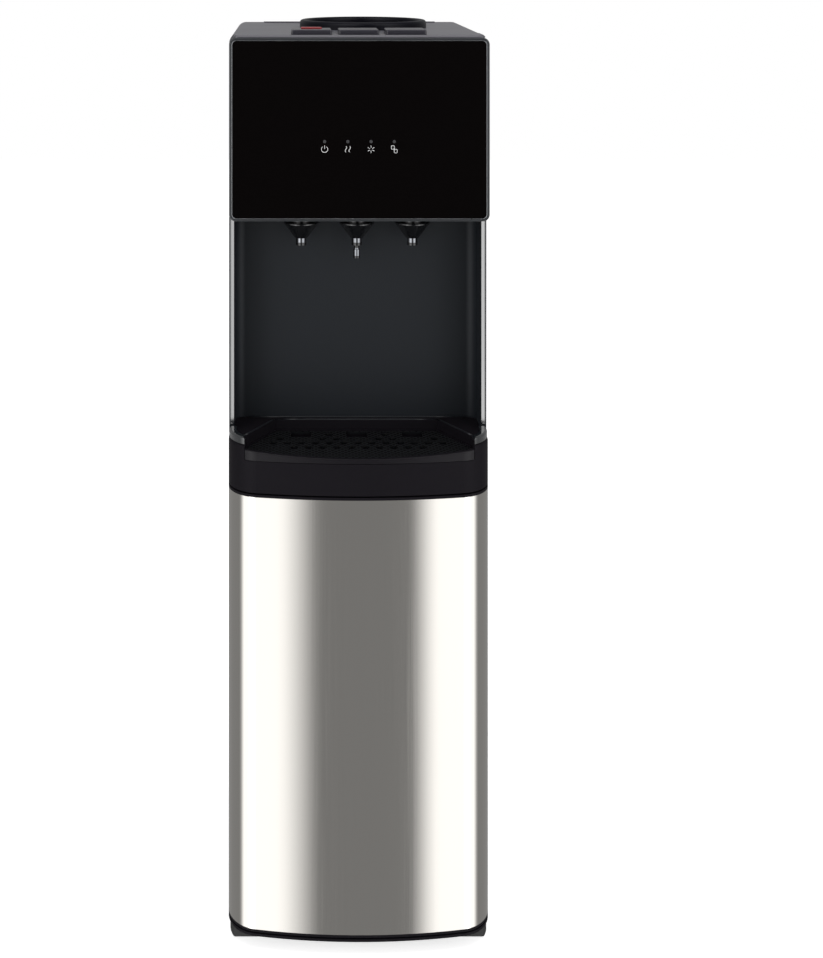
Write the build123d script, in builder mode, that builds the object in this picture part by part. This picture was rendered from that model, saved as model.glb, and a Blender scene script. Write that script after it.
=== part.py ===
from build123d import *
import os
from math import sqrt

# Free-standing water dispenser: a storage cabinet behind a bowed steel door, a dispensing niche
# with a drip tray, and a head with taps, tanks, push buttons and the bottle seat.
# Millimetres, +Z up, front towards -Y, origin on the floor under the middle of the whole object.

# Overall size and the bowed plan outline
WIDTH = 310.0
DEPTH = 360.0
BOW_RADIUS = 750.0
CORNER_RADIUS = 40.0

# Stock and fits
SHEET = 0.8
WALL = 2.5
FIT = 0.3
RUNNING_FIT = 0.05
HEM = 3.0
HEM_LENGTH = 10.0

# Heights, stacked up from the floor
FOOT_HEIGHT = 17.0
BASE_LIP = 3.0
FLOOR_RISE = 20.0
HINGE_GAP = 2.0
DOOR_HEIGHT = 511.0
APRON_HEIGHT = 55.0
NICHE_HEIGHT = 261.0
FASCIA_HEIGHT = 216.0
COVER_RISE = 3.0
SKIRT_HEIGHT = 48.0

# Base and feet
BASE_WALL = 3.0
BASE_RIB = 2.0
BASE_RIB_DEPTH = 10.0
FOOT_INSET = 2.0
FOOT_SETBACK = 31.0
FOOT_REACH = 60.0
FOOT_CHAMFER = 2.5
REAR_FOOT = 44.0
REAR_FOOT_INSET = 6.0
REAR_FOOT_CORNER = 8.0

# Door
SKIN = 1.0
DOOR_SIDE = 2.6
DOOR_EDGE = 8.0
DOOR_FLANGE = 12.0
DOOR_CAP = 3.0
DOOR_PLUG = 10.0
DOOR_LINER = 2.5
LINER_MARGIN = 1.0
LINER_BAR = 12.0
LINER_PANEL_BORDER = 22.0
LINER_PANEL_DEPTH = 0.8
GASKET_WIDTH = 10.0
GASKET = 3.2
SEAL_GAP = 3.5
HINGE_PIN_RADIUS = 3.0
HINGE_COLLAR_RADIUS = 6.0

# Cabinet
BAY_DEPTH = 126.8
FRAME_BORDER = 18.0
FRAME_HEADER = 35.0

# Apron, deck and drip tray
DECK_EDGE = 5.0
RIM_INSET = 1.0
RIM_WIDTH = 9.0
RIM_HEIGHT = 8.0
RIM_ROUND = 2.5
RECESS_SETBACK = 12.0
RECESS_MARGIN = 20.0
RECESS_SLANT = 35.0
RECESS_KNEE = 58.0
TRAY_POCKET = 44.0
TRAY_RIM_DROP = 12.0
TRAY_LIP = 6.0
TRAY_HORN = 6.5
TRAY_FIT = 0.6
TRAY_WALL = 2.0
TRAY_LEDGE = 2.5
TRAY_LIP_ROUND = 2.0
GRILLE = 2.5
GRILLE_FIT = 0.4
GRILLE_DROP = 0.8
GRILLE_HOLE = 5.4
GRILLE_PITCH = 17.0
GRILLE_BORDER = 7.0
GRILLE_FRONT_BAND = 38.0
GRILLE_SLOT_WIDTH = 25.0
GRILLE_SLOT_DEPTH = 18.0
GRILLE_SLOT_CLEAR = 8.5

# Niche
NICHE_LIP = 5.0
NICHE_LIP_BEVEL = 2.4
NICHE_LIP_ROUND = 0.8
NICHE_DEPTH = 55.5
NICHE_CORNER = 12.0
TAP_PLATE = 3.0

# Nozzles and taps
NOZZLE_PITCH = 68.0
NOZZLE_SETBACK = 29.0
NOZZLE_FLANGE_RADIUS = 23.5
NOZZLE_COLLAR_RADIUS = 21.5
NOZZLE_COLLAR = 14.5
NOZZLE_NECK_RADIUS = 15.0
NOZZLE_RIM = 2.2
NOZZLE_RIM_CHAMFER = 0.8
NOZZLE_CONE = 18.0
NOZZLE_CONE_RADIUS = 8.0
NOZZLE_TIP_RADIUS = 6.4
NOZZLE_TIP = 9.0
NOZZLE_BORE = 4.0
SPOUT_NECK_RADIUS = 3.0
SPOUT_NECK = 5.5
SPOUT_RADIUS = 4.2
SPOUT = 10.5
SPOUT_BORE = 2.0
TAP_WIDTH = 44.0
TAP_HEIGHT = 30.0
TAP_CORNER = 8.0
TAP_FRONT = 13.0
TAP_REAR = 22.0
BONNET_RADIUS = 9.0
BONNET = 8.0
SPIGOT_RADIUS = 6.0
SPIGOT = 14.0

# Fascia and front panel
FASCIA_SETBACK = 18.0
FASCIA_INSET = 1.7
FASCIA_CORNER = 8.0
FASCIA_RIM = 3.0
FASCIA_ROUND = 1.5
PANEL = 3.0
PANEL_RECESS = 0.4
PANEL_CHAMFER = 0.6
LIGHT_COUNT = 4
LIGHT_PITCH = 27.3
LIGHT_DROP = 122.0
LIGHT_RADIUS = 1.9
LIGHT_FLANGE_RADIUS = 3.0
LIGHT_FLANGE = 1.0
BOARD = 1.6
BOARD_WIDTH = 116.0
BOARD_HEIGHT = 22.0
BOARD_POST = 3.5
BOARD_POST_RADIUS = 4.0
BOARD_POST_SPREAD = 104.0

# Top cover, buttons and bottle seat
COVER_EDGE = 12.0
COVER_REAR_CORNER = 14.0
TONGUE_INSET = 6.0
TONGUE_SETBACK = 2.0
TONGUE_CORNER = 6.0
TONGUE_CHAMFER = 2.0
RIDGE_WIDTH = 236.0
RIDGE_DEPTH = 4.0
RIDGE_HEIGHT = 1.5
RIDGE_SETBACK = 30.0
BUTTON_WIDTH = 48.0
BUTTON_DEPTH = 44.0
BUTTON_PITCH = 56.0
BUTTON_SETBACK = 9.0
BUTTON_RISE = 6.0
BUTTON_TRAVEL = 5.0
BUTTON_ROUND = 2.0
BUTTON_FLANGE = 2.5
BUTTON_FLANGE_WIDTH = 2.0
ROD_RADIUS = 4.0
ROD_ENTRY = 12.0
ROD_FIT = 0.3
LOCK_WIDTH = 25.0
LOCK_DEPTH = 13.0
LOCK_HEIGHT = 2.8
LOCK_ROUND = 0.8
LOCK_TRAVEL = 6.0
LOCK_RECESS = 1.5
LOCK_MARGIN = 4.0
SEAT_X = 13.0
SEAT_OFFSET = 17.0
SEAT_RIM_RADIUS = 82.0
SEAT_RIM = 10.0
SEAT_RIM_ROUND = 4.0
SEAT_BODY_RADIUS = 75.5
SEAT_THROAT_RADIUS = 62.0
SEAT_THROAT_DROP = 30.0
SEAT_DEPTH = 64.0
SEAT_WALL = 2.5
SEAT_COLLAR = 10.0
PROBE_RADIUS = 13.0
PROBE_TIP_RADIUS = 8.0
PROBE_HEIGHT = 42.0
PROBE_BORE = 5.0
PROBE_FLANGE_RADIUS = 20.0
PROBE_FLANGE = 3.0
PROBE_TAIL = 14.0
PROBE_TAIL_RADIUS = 10.0

# Tanks
SHELF_RISE = 37.0
SHELF = 2.0
SHELF_MARGIN = 8.0
TANK_RADIUS = 78.0
TANK_WALL = 1.0
TANK_LID = 3.0
TANK_LID_GAP = 2.0
FOAM_SIZE = 204.0
FOAM_CORNER = 20.0
FOAM_FLOOR = 13.0
JACKET = 1.6
JACKET_MARGIN = 16.0
STUB_RADIUS = 5.0
STUB_SPREAD = 48.0
STUB_FORWARD = 15.0
STUB_REARWARD = 50.0
STUB_REACH = 4.0
HOT_RADIUS = 48.0
HOT_X = -20.0
HOT_Y = 70.0
HOT_RISE = 52.0
HOT_SIDE = 130.0
HOT_DOME = 15.0
HOT_STUB = 12.0
HOT_BORE = 3.5
HOT_WALL = 1.2
HOT_BAND = 2.0
HOT_BAND_HEIGHT = 20.0
HOT_LEG = 30.0
THERMOSTAT_RADIUS = 8.0
THERMOSTAT = 6.0
THERMOSTAT_SPACING = 36.0
TUBE_RADIUS = 5.0
TUBE_BEND = 9.0

# Compressor bay and condenser
REAR_OPENING = 190.0
COMPRESSOR_RADIUS = 54.0
COMPRESSOR_X = 10.0
COMPRESSOR_BELLY = 24.0
COMPRESSOR_SIDE = 70.0
COMPRESSOR_DOME = 28.0
COMPRESSOR_SEAM = 3.0
COMPRESSOR_PLATE = 3.0
COMPRESSOR_PLATE_WIDTH = 150.0
COMPRESSOR_PLATE_DEPTH = 96.0
GROMMET_RADIUS = 9.0
GROMMET = 9.0
GROMMET_INSET = 12.0
TERMINAL_WIDTH = 26.0
TERMINAL_DEPTH = 44.0
TERMINAL_HEIGHT = 54.0
TERMINAL_ROUND = 4.0
PIPE_RADIUS = 2.4
PIPE_BEND = 12.0
PIPE_SPREAD = 18.0
CONDENSER_STANDOFF = 22.0
CONDENSER_WIDTH = 190.0
CONDENSER_PASSES = 11
CONDENSER_PITCH = 54.0
CONDENSER_RISE = 60.0
CONDENSER_BEND_SHARE = 0.46
CONDENSER_TAIL = 26.0
WIRE_RADIUS = 0.9
WIRE_COUNT = 18
WIRE_FIT = 0.05
WIRE_OVERHANG = 10.0
CLIP_WIDTH = 16.0
CLIP_HEIGHT = 10.0
CLIP_SPREAD = 140.0
DRIER_RADIUS = 9.0
DRIER_LENGTH = 80.0
DRIER_CONE = 8.0
DRIER_OUTSET = 28.0
SUCTION_OUTSET = 32.0

# Rear fittings
LOUVRE_COUNT = 5
LOUVRE_WIDTH = 90.0
LOUVRE_HEIGHT = 5.0
LOUVRE_PITCH = 12.0
LOUVRE_DROP = 55.0
LOUVRE_OFFSET = 60.0
SWITCH_INSET = 57.0
SWITCH_DROP = 72.0
SWITCH_PITCH = 28.0
BEZEL = 3.0
BEZEL_WIDTH = 72.0
BEZEL_HEIGHT = 44.0
BEZEL_CORNER = 4.0
BEZEL_SLEEVE = 12.0
BEZEL_SLEEVE_WIDTH = 60.0
BEZEL_SLEEVE_HEIGHT = 34.0
ROCKER_WIDTH = 18.0
ROCKER_HALF_HEIGHT = 12.0
ROCKER_SIDE_FIT = 0.5
ROCKER_SWING_FIT = 2.0
ROCKER_PROUD = 5.0
ROCKER_DISH = 1.6
ROCKER_ROOT = 6.0
ROCKER_PIN_RADIUS = 1.5
ROCKER_PIN = 1.8
DRAIN_INSET = 24.0
DRAIN_RISE = 10.0
DRAIN_RADIUS = 7.0
DRAIN_BORE = 4.5
DRAIN_FLANGE_RADIUS = 13.0
DRAIN_FLANGE = 2.0
DRAIN_OUT = 15.0
DRAIN_IN = 30.0
CAP_RADIUS = 11.0
CAP_END = 3.0
CAP_GRIPS = 10
CAP_GRIP_RADIUS = 1.6
GLAND_INSET = 30.0
GLAND_RISE = 30.0
GLAND_BORE = 4.2
GLAND_RADIUS = 7.0
GLAND_FLANGE_RADIUS = 10.5
GLAND_FLANGE = 3.0
GLAND_IN = 8.0
GLAND_NOSE = 12.0
GLAND_NOSE_RADIUS = 6.2
SCREW_RADIUS = 3.6
SCREW_HEAD = 1.8
SCREW_ROUND = 0.8
SCREW_INSET = 11.0
SCREW_ROWS = 4
SCREW_MARGIN = 20.0

# Levels
half = WIDTH / 2
lip_z = FOOT_HEIGHT + BASE_LIP
floor_z = lip_z + FLOOR_RISE
door_z = lip_z + HINGE_GAP
door_top = door_z + DOOR_HEIGHT
skin_z = door_z + DOOR_CAP
skin_top = door_top - DOOR_CAP
apron_z = door_top + HINGE_GAP
deck_z = apron_z + APRON_HEIGHT
head_z = deck_z + NICHE_HEIGHT
rim_z = head_z + FASCIA_HEIGHT
top_z = rim_z + COVER_RISE
skirt_z = top_z - SKIRT_HEIGHT

# Depths
front_y = -DEPTH / 2
rear_y = DEPTH / 2
corner_depth = BOW_RADIUS - sqrt((BOW_RADIUS - CORNER_RADIUS) ** 2 - (half - CORNER_RADIUS) ** 2)
door_back = front_y + corner_depth + DOOR_SIDE + DOOR_EDGE
body_front = door_back + SEAL_GAP
body_back = rear_y - CONDENSER_STANDOFF
fascia_front = front_y + FASCIA_SETBACK
niche_front = body_front - NICHE_LIP
niche_back = niche_front + NICHE_DEPTH
deck_back = niche_back + WALL
cabinet_back = body_back - BAY_DEPTH - SHEET

# Half widths inside the side panels: between their hems, and between their sheets
hem_half = half - HEM - FIT
inner_half = half - SHEET - FIT

# Rear fittings, set in from the rear panel's edges
switch_x = hem_half - SWITCH_INSET
drain_x = DRAIN_INSET - hem_half
gland_x = GLAND_INSET - hem_half

# Hinge axis, at the centre of the door's rounded rear edge
hinge_x = half - DOOR_EDGE
hinge_y = door_back - DOOR_EDGE

os.makedirs("parts", exist_ok=True)


def save(piece, name):
    """Label a finished piece and write it as its own file."""
    piece.part.label = name
    export_step(piece.part, f"parts/{name}.step")


def facing(y, x=0.0):
    """Upright sketch plane at depth y, seen from the front and extruding towards the front."""
    return Plane(origin=(x, y, 0), x_dir=(1, 0, 0), z_dir=(0, -1, 0))


def bow_face(inset, back_y, edge_radius=0.0):
    """Plan outline with the bowed front and rounded front corners, drawn in by the inset."""
    side = half - inset
    radius = BOW_RADIUS - inset
    apex = front_y + inset
    shoulder = apex + radius - sqrt(radius**2 - side**2)
    with BuildSketch(mode=Mode.PRIVATE) as face:
        with BuildLine():
            ThreePointArc((-side, shoulder), (0, apex), (side, shoulder))
            Polyline((side, shoulder), (side, back_y), (-side, back_y), (-side, shoulder))
        make_face()
        fillet(face.vertices().group_by(Axis.Y)[0], CORNER_RADIUS - inset)
        if edge_radius > 0:
            fillet(face.vertices().group_by(Axis.Y)[-1], edge_radius)
    return face.sketch


# Base pan: bowed lip, raised floor, hollow underside with ribs and solid pads over the rear feet
floor_front = body_front + FIT
floor_depth = body_back - floor_front
floor_mid = (body_back + floor_front) / 2
rear_foot_x = half - REAR_FOOT_INSET - REAR_FOOT / 2
rear_foot_y = body_back - REAR_FOOT_INSET - REAR_FOOT / 2
rear_foot_centres = [(-rear_foot_x, rear_foot_y), (rear_foot_x, rear_foot_y)]

with BuildPart() as base_pan:
    with BuildSketch(Plane.XY.offset(FOOT_HEIGHT)):
        add(bow_face(0, body_back))
    extrude(amount=BASE_LIP)
    with BuildSketch(Plane.XY.offset(lip_z)):
        with Locations((0, floor_mid)):
            Rectangle(2 * hem_half, floor_depth)
    extrude(amount=FLOOR_RISE)
    with BuildSketch(Plane.XY.offset(FOOT_HEIGHT)):
        with Locations((0, floor_mid)):
            Rectangle(2 * (hem_half - BASE_WALL), floor_depth - 2 * BASE_WALL)
        with Locations(*rear_foot_centres):
            Rectangle(REAR_FOOT + 2 * BASE_WALL, REAR_FOOT + 2 * BASE_WALL, mode=Mode.SUBTRACT)
    extrude(amount=BASE_LIP + FLOOR_RISE - BASE_WALL, mode=Mode.SUBTRACT)
    with BuildSketch(Plane.XY.offset(floor_z - BASE_WALL - BASE_RIB_DEPTH)):
        with Locations((0, floor_mid)):
            with GridLocations(hem_half / 2, 0, 3, 1):
                Rectangle(BASE_RIB, floor_depth - BASE_WALL)
            with GridLocations(0, floor_depth / 3, 1, 2):
                Rectangle(2 * hem_half - BASE_WALL, BASE_RIB)
    extrude(amount=BASE_RIB_DEPTH)
save(base_pan, "base_pan")

with BuildPart() as feet:
    with BuildSketch(Plane.XY):
        add(bow_face(FOOT_INSET, body_front))
        with Locations((0, front_y + FOOT_SETBACK / 2)):
            Rectangle(WIDTH, FOOT_SETBACK, mode=Mode.SUBTRACT)
        with Locations((0, front_y)):
            Rectangle(2 * (half - FOOT_REACH), DEPTH, mode=Mode.SUBTRACT)
        with Locations(*rear_foot_centres):
            RectangleRounded(REAR_FOOT, REAR_FOOT, REAR_FOOT_CORNER)
    extrude(amount=FOOT_HEIGHT)
    chamfer(feet.faces().group_by(Axis.Z)[0].edges(), FOOT_CHAMFER)
save(feet, "feet")


# Side panels: one painted sheet each, hemmed along the front and rear edges
def side_panel(side):
    """Sheet side panel, at the left for side -1 and at the right for side 1."""
    length = body_back - body_front
    with BuildPart() as panel:
        with BuildSketch(Plane.XY.offset(lip_z)):
            with Locations((side * (half - SHEET / 2), (body_front + body_back) / 2)):
                Rectangle(SHEET, length)
            with Locations(
                (side * (half - HEM / 2), body_front + HEM_LENGTH / 2),
                (side * (half - HEM / 2), body_back - HEM_LENGTH / 2),
            ):
                Rectangle(HEM, HEM_LENGTH)
        extrude(amount=skirt_z - lip_z)
    return panel


save(side_panel(-1), "left_side_panel")
save(side_panel(1), "right_side_panel")

# Cabinet frame of two stiles and two rails, partition and ceiling around the storage space
ceiling_z = apron_z - FRAME_HEADER
opening_half = hem_half - FRAME_BORDER
with BuildPart() as cabinet_frame:
    with BuildSketch(facing(body_front + WALL)):
        with Locations((0, (floor_z + apron_z) / 2)):
            with GridLocations(2 * hem_half - FRAME_BORDER, 0, 2, 1):
                Rectangle(FRAME_BORDER, apron_z - floor_z)
        with Locations((0, floor_z + FRAME_BORDER / 2)):
            Rectangle(2 * (opening_half - FIT), FRAME_BORDER)
        with Locations((0, apron_z - FRAME_HEADER / 2)):
            Rectangle(2 * (opening_half - FIT), FRAME_HEADER)
    extrude(amount=WALL)
save(cabinet_frame, "cabinet_frame")

with BuildPart() as cabinet_partition:
    with BuildSketch(facing(cabinet_back + SHEET)):
        with Locations((0, (floor_z + ceiling_z) / 2)):
            Rectangle(2 * hem_half, ceiling_z - floor_z)
    extrude(amount=SHEET)
save(cabinet_partition, "cabinet_partition")

ceiling_front = body_front + WALL
ceiling_depth = cabinet_back + SHEET - ceiling_front
with BuildPart() as cabinet_ceiling:
    with BuildSketch(Plane.XY.offset(ceiling_z)):
        with Locations((0, ceiling_front + ceiling_depth / 2)):
            Rectangle(2 * hem_half, ceiling_depth)
    extrude(amount=SHEET)
save(cabinet_ceiling, "cabinet_ceiling")

# Door skin: one bent sheet, bowed in front and flanged back behind rounded rear edges
flange_inner = half - DOOR_EDGE - DOOR_FLANGE
with BuildPart() as door_skin:
    with BuildSketch(Plane.XY.offset(skin_z)):
        add(bow_face(0, door_back, DOOR_EDGE))
        add(bow_face(SKIN, door_back - SKIN, DOOR_EDGE - SKIN), mode=Mode.SUBTRACT)
        with Locations((0, door_back)):
            Rectangle(2 * flange_inner, 4 * SKIN, mode=Mode.SUBTRACT)
    extrude(amount=skin_top - skin_z)
save(door_skin, "door_skin")


# Door caps: an end plate with a plug wall inside the skin and a boss around the hinge pin
def door_cap(plate_z, plug_z):
    """Moulded end cap of the door, with its plate and its plug starting at the heights given."""
    plug = SKIN + FIT
    with BuildPart() as cap:
        with BuildSketch(Plane.XY.offset(plate_z)):
            add(bow_face(0, door_back, DOOR_EDGE))
        extrude(amount=DOOR_CAP)
        with BuildSketch(Plane.XY.offset(plug_z)):
            add(bow_face(plug, door_back - plug, DOOR_EDGE - plug))
            inner = plug + WALL
            add(bow_face(inner, door_back - inner, DOOR_EDGE - inner), mode=Mode.SUBTRACT)
            with Locations((hinge_x, hinge_y)):
                Circle(DOOR_EDGE - plug)
        extrude(amount=DOOR_PLUG)
        with BuildSketch(Plane.XY.offset(min(plate_z, plug_z))):
            with Locations((hinge_x, hinge_y)):
                Circle(HINGE_PIN_RADIUS + RUNNING_FIT)
        extrude(amount=DOOR_CAP + DOOR_PLUG, mode=Mode.SUBTRACT)
    return cap


save(door_cap(door_z, skin_z), "door_bottom_cap")
save(door_cap(skin_top, skin_top - DOOR_PLUG), "door_top_cap")

# Door liner: inner panel behind the flanges, with a shallow pressed field and two gasket bars
liner_half = half - DOOR_EDGE - LINER_MARGIN
liner_z = skin_z + DOOR_PLUG + FIT
liner_top = skin_top - DOOR_PLUG - FIT
liner_mid = (liner_z + liner_top) / 2
liner_back = door_back - SKIN
bar_half = flange_inner - FIT
field_half = flange_inner - LINER_PANEL_BORDER
with BuildPart() as door_liner:
    with BuildSketch(facing(liner_back)):
        with Locations((0, liner_mid)):
            Rectangle(2 * liner_half, liner_top - liner_z)
    extrude(amount=DOOR_LINER)
    with BuildSketch(facing(door_back)):
        with Locations((0, liner_z + LINER_BAR / 2), (0, liner_top - LINER_BAR / 2)):
            Rectangle(2 * bar_half, LINER_BAR)
    extrude(amount=SKIN)
    with BuildSketch(facing(liner_back)):
        with Locations((0, liner_mid)):
            RectangleRounded(
                2 * field_half,
                liner_top - liner_z - 2 * (LINER_BAR + LINER_PANEL_BORDER),
                LINER_PANEL_BORDER,
            )
    extrude(amount=LINER_PANEL_DEPTH, mode=Mode.SUBTRACT)
save(door_liner, "door_liner")

gasket_margin = (LINER_BAR - GASKET_WIDTH) / 2
gasket_height = liner_top - liner_z - 2 * gasket_margin
with BuildPart() as door_gasket:
    with BuildSketch(facing(door_back + GASKET)):
        with Locations((0, liner_mid)):
            Rectangle(2 * liner_half, gasket_height)
            Rectangle(
                2 * (liner_half - GASKET_WIDTH), gasket_height - 2 * GASKET_WIDTH, mode=Mode.SUBTRACT
            )
    extrude(amount=GASKET)
save(door_gasket, "door_gasket")


# Hinge pins: a collar that takes the door's end, on a pin that enters its cap
collar_height = HINGE_GAP - FIT
pin_height = HINGE_GAP + DOOR_CAP + DOOR_PLUG - FIT
lower_turns = [(lip_z, HINGE_COLLAR_RADIUS, collar_height), (lip_z, HINGE_PIN_RADIUS, pin_height)]
upper_turns = [
    (apron_z - collar_height, HINGE_COLLAR_RADIUS, collar_height),
    (apron_z - pin_height, HINGE_PIN_RADIUS, pin_height),
]
with BuildPart() as hinge_pins:
    for turn_z, turn_radius, turn_height in lower_turns + upper_turns:
        with BuildSketch(Plane.XY.offset(turn_z)):
            with Locations((hinge_x, hinge_y)):
                Circle(turn_radius)
        extrude(amount=turn_height)
save(hinge_pins, "hinge_pins")

# Drip tray recess in the deck: straight sides in front, slanted towards the rear
recess_half = half - RECESS_MARGIN
recess_rear_half = recess_half - RECESS_SLANT
recess_back = niche_back - RECESS_SETBACK
recess_knee = recess_back - RECESS_KNEE
pocket_z = deck_z - TRAY_POCKET
tray_rim = deck_z - TRAY_RIM_DROP
notch_z = tray_rim - TRAY_LIP


def recess_face(inset, bow_inset):
    """Recess outline drawn in by the inset, ending in front on the bow at its own inset."""
    with BuildSketch(mode=Mode.PRIVATE) as face:
        with BuildLine():
            Polyline(
                (-recess_rear_half, recess_back),
                (recess_rear_half, recess_back),
                (recess_half, recess_knee),
                (recess_half, front_y - WIDTH),
                (-recess_half, front_y - WIDTH),
                (-recess_half, recess_knee),
                close=True,
            )
        make_face()
        if inset != 0:
            offset(amount=-inset, kind=Kind.INTERSECTION, mode=Mode.REPLACE)
        add(bow_face(bow_inset, body_back), mode=Mode.INTERSECT)
    return face.sketch


def deck_face(inset):
    """Plan of the apron and of the deck that reaches back between the side panels."""
    rear = deck_back - inset
    with BuildSketch(mode=Mode.PRIVATE) as face:
        add(bow_face(inset, body_front))
        with Locations((0, (body_front - inset + rear) / 2)):
            Rectangle(2 * (hem_half - inset), rear - body_front + inset)
        if inset > 0:
            with Locations((0, body_front)):
                Rectangle(WIDTH, 2 * inset, mode=Mode.SUBTRACT)
            with Locations((0, body_front)):
                Rectangle(2 * (hem_half - inset), 2 * inset)
    return face.sketch


# Drip housing: bowed apron and deck in one moulding, with the pocket that takes the tray and a
# boss inside the corner that carries the upper hinge pin
with BuildPart() as drip_housing:
    with BuildSketch(Plane.XY.offset(apron_z)):
        add(deck_face(0))
    extrude(amount=APRON_HEIGHT)
    rounded = drip_housing.edges().filter_by_position(Axis.Z, deck_z - FIT, deck_z + FIT)
    fillet(rounded.filter_by_position(Axis.Y, front_y, body_front - FIT), DECK_EDGE)
    with BuildSketch(Plane.XY.offset(apron_z)):
        add(deck_face(WALL))
    extrude(amount=pocket_z - WALL - apron_z, mode=Mode.SUBTRACT)
    with BuildSketch(Plane.XY.offset(pocket_z - WALL)):
        add(deck_face(WALL))
        add(recess_face(-WALL, 0), mode=Mode.SUBTRACT)
    extrude(amount=deck_z - pocket_z, mode=Mode.SUBTRACT)
    with BuildSketch(Plane.XY.offset(apron_z)):
        with Locations((hinge_x, hinge_y)):
            Circle(HINGE_COLLAR_RADIUS)
    extrude(amount=APRON_HEIGHT - WALL)
    with BuildSketch(Plane.XY.offset(pocket_z)):
        add(recess_face(0, WALL))
    extrude(amount=TRAY_POCKET, mode=Mode.SUBTRACT)
    with BuildSketch(Plane.XY.offset(notch_z)):
        add(recess_face(0, -WALL))
    extrude(amount=deck_z - notch_z, mode=Mode.SUBTRACT)
save(drip_housing, "drip_housing")

# Drip tray: tub in the pocket, ledge for the grille and a lip over the apron that rises at its ends
tray_wall = TRAY_FIT + TRAY_WALL
tray_floor = pocket_z + FIT + TRAY_WALL
tray_front = front_y + CORNER_RADIUS
grille_z = tray_rim - GRILLE_DROP - GRILLE
with BuildPart() as drip_tray:
    with BuildSketch(Plane.XY.offset(pocket_z + FIT)):
        add(recess_face(TRAY_FIT, WALL + TRAY_FIT))
    extrude(amount=tray_rim - pocket_z - FIT)
    with BuildSketch(Plane.XY.offset(notch_z + TRAY_FIT)):
        add(recess_face(TRAY_FIT, 0))
    extrude(amount=tray_rim - notch_z - TRAY_FIT)
    with BuildSketch(Plane.XY.offset(tray_rim)):
        add(recess_face(TRAY_FIT, 0))
        with Locations((0, tray_front / 2 + body_back / 2)):
            Rectangle(WIDTH, body_back - tray_front, mode=Mode.SUBTRACT)
        add(recess_face(TRAY_FIT, WALL + tray_wall), mode=Mode.SUBTRACT)
    extrude(amount=TRAY_HORN)
    with BuildSketch(facing(tray_front)):
        with BuildLine():
            horn_z = tray_rim + TRAY_HORN
            ThreePointArc((-recess_half, horn_z), (0, tray_rim), (recess_half, horn_z))
            Polyline(
                (recess_half, horn_z),
                (recess_half, horn_z + WALL),
                (-recess_half, horn_z + WALL),
                (-recess_half, horn_z),
            )
        make_face()
    extrude(amount=tray_front - front_y + WALL, mode=Mode.SUBTRACT)
    fillet(drip_tray.edges().sort_by_distance((0, front_y, tray_rim))[0], TRAY_LIP_ROUND)
    with BuildSketch(Plane.XY.offset(tray_floor)):
        add(recess_face(tray_wall + TRAY_LEDGE, WALL + tray_wall + TRAY_LEDGE))
    extrude(amount=grille_z - tray_floor, mode=Mode.SUBTRACT)
    with BuildSketch(Plane.XY.offset(grille_z)):
        add(recess_face(tray_wall, WALL + tray_wall))
    extrude(amount=tray_rim - grille_z, mode=Mode.SUBTRACT)
save(drip_tray, "drip_tray")

# Drip grille: plate with a staggered field of hexagonal holes and a slot under each nozzle
nozzle_y = niche_front + NOZZLE_SETBACK
nozzle_xs = [-NOZZLE_PITCH, 0.0, NOZZLE_PITCH]
tap_z = head_z + WALL + FIT
grille_edge = tray_wall + GRILLE_FIT
row_pitch = GRILLE_PITCH * sqrt(3) / 2
field_back = recess_back - grille_edge - GRILLE_BORDER - GRILLE_HOLE
slant = RECESS_SLANT / RECESS_KNEE


def grille_hole_centres():
    """Centres of the staggered holes that keep clear of the plate's border and its slots."""
    centres = []
    rows = int((field_back - front_y - GRILLE_FRONT_BAND) / row_pitch) + 1
    for row in range(rows):
        y = field_back - row * row_pitch
        widest = min(recess_half, recess_rear_half + slant * (recess_back - y))
        reach = widest - grille_edge - GRILLE_BORDER - GRILLE_HOLE
        count = int(2 * reach / GRILLE_PITCH + row % 2)
        steps = count - (count + row) % 2
        for step in range(steps + 1):
            x = (step - steps / 2) * GRILLE_PITCH
            near_slot = min(abs(x - nozzle) for nozzle in nozzle_xs)
            over_slot = near_slot < GRILLE_SLOT_WIDTH / 2 + GRILLE_SLOT_CLEAR
            beside_slot = abs(y - nozzle_y) < GRILLE_SLOT_DEPTH / 2 + GRILLE_SLOT_CLEAR
            bow_line = front_y + x**2 / (2 * BOW_RADIUS) + GRILLE_FRONT_BAND
            if abs(x) <= reach and y >= bow_line and not (over_slot and beside_slot):
                centres.append((x, y))
    return centres


with BuildPart() as drip_grille:
    with BuildSketch(Plane.XY.offset(grille_z)):
        add(recess_face(grille_edge, WALL + grille_edge))
        with Locations(*grille_hole_centres()):
            RegularPolygon(GRILLE_HOLE, 6, mode=Mode.SUBTRACT)
        with Locations(*[(x, nozzle_y) for x in nozzle_xs]):
            Rectangle(GRILLE_SLOT_WIDTH, GRILLE_SLOT_DEPTH, mode=Mode.SUBTRACT)
    extrude(amount=GRILLE)
save(drip_grille, "drip_grille")

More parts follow.
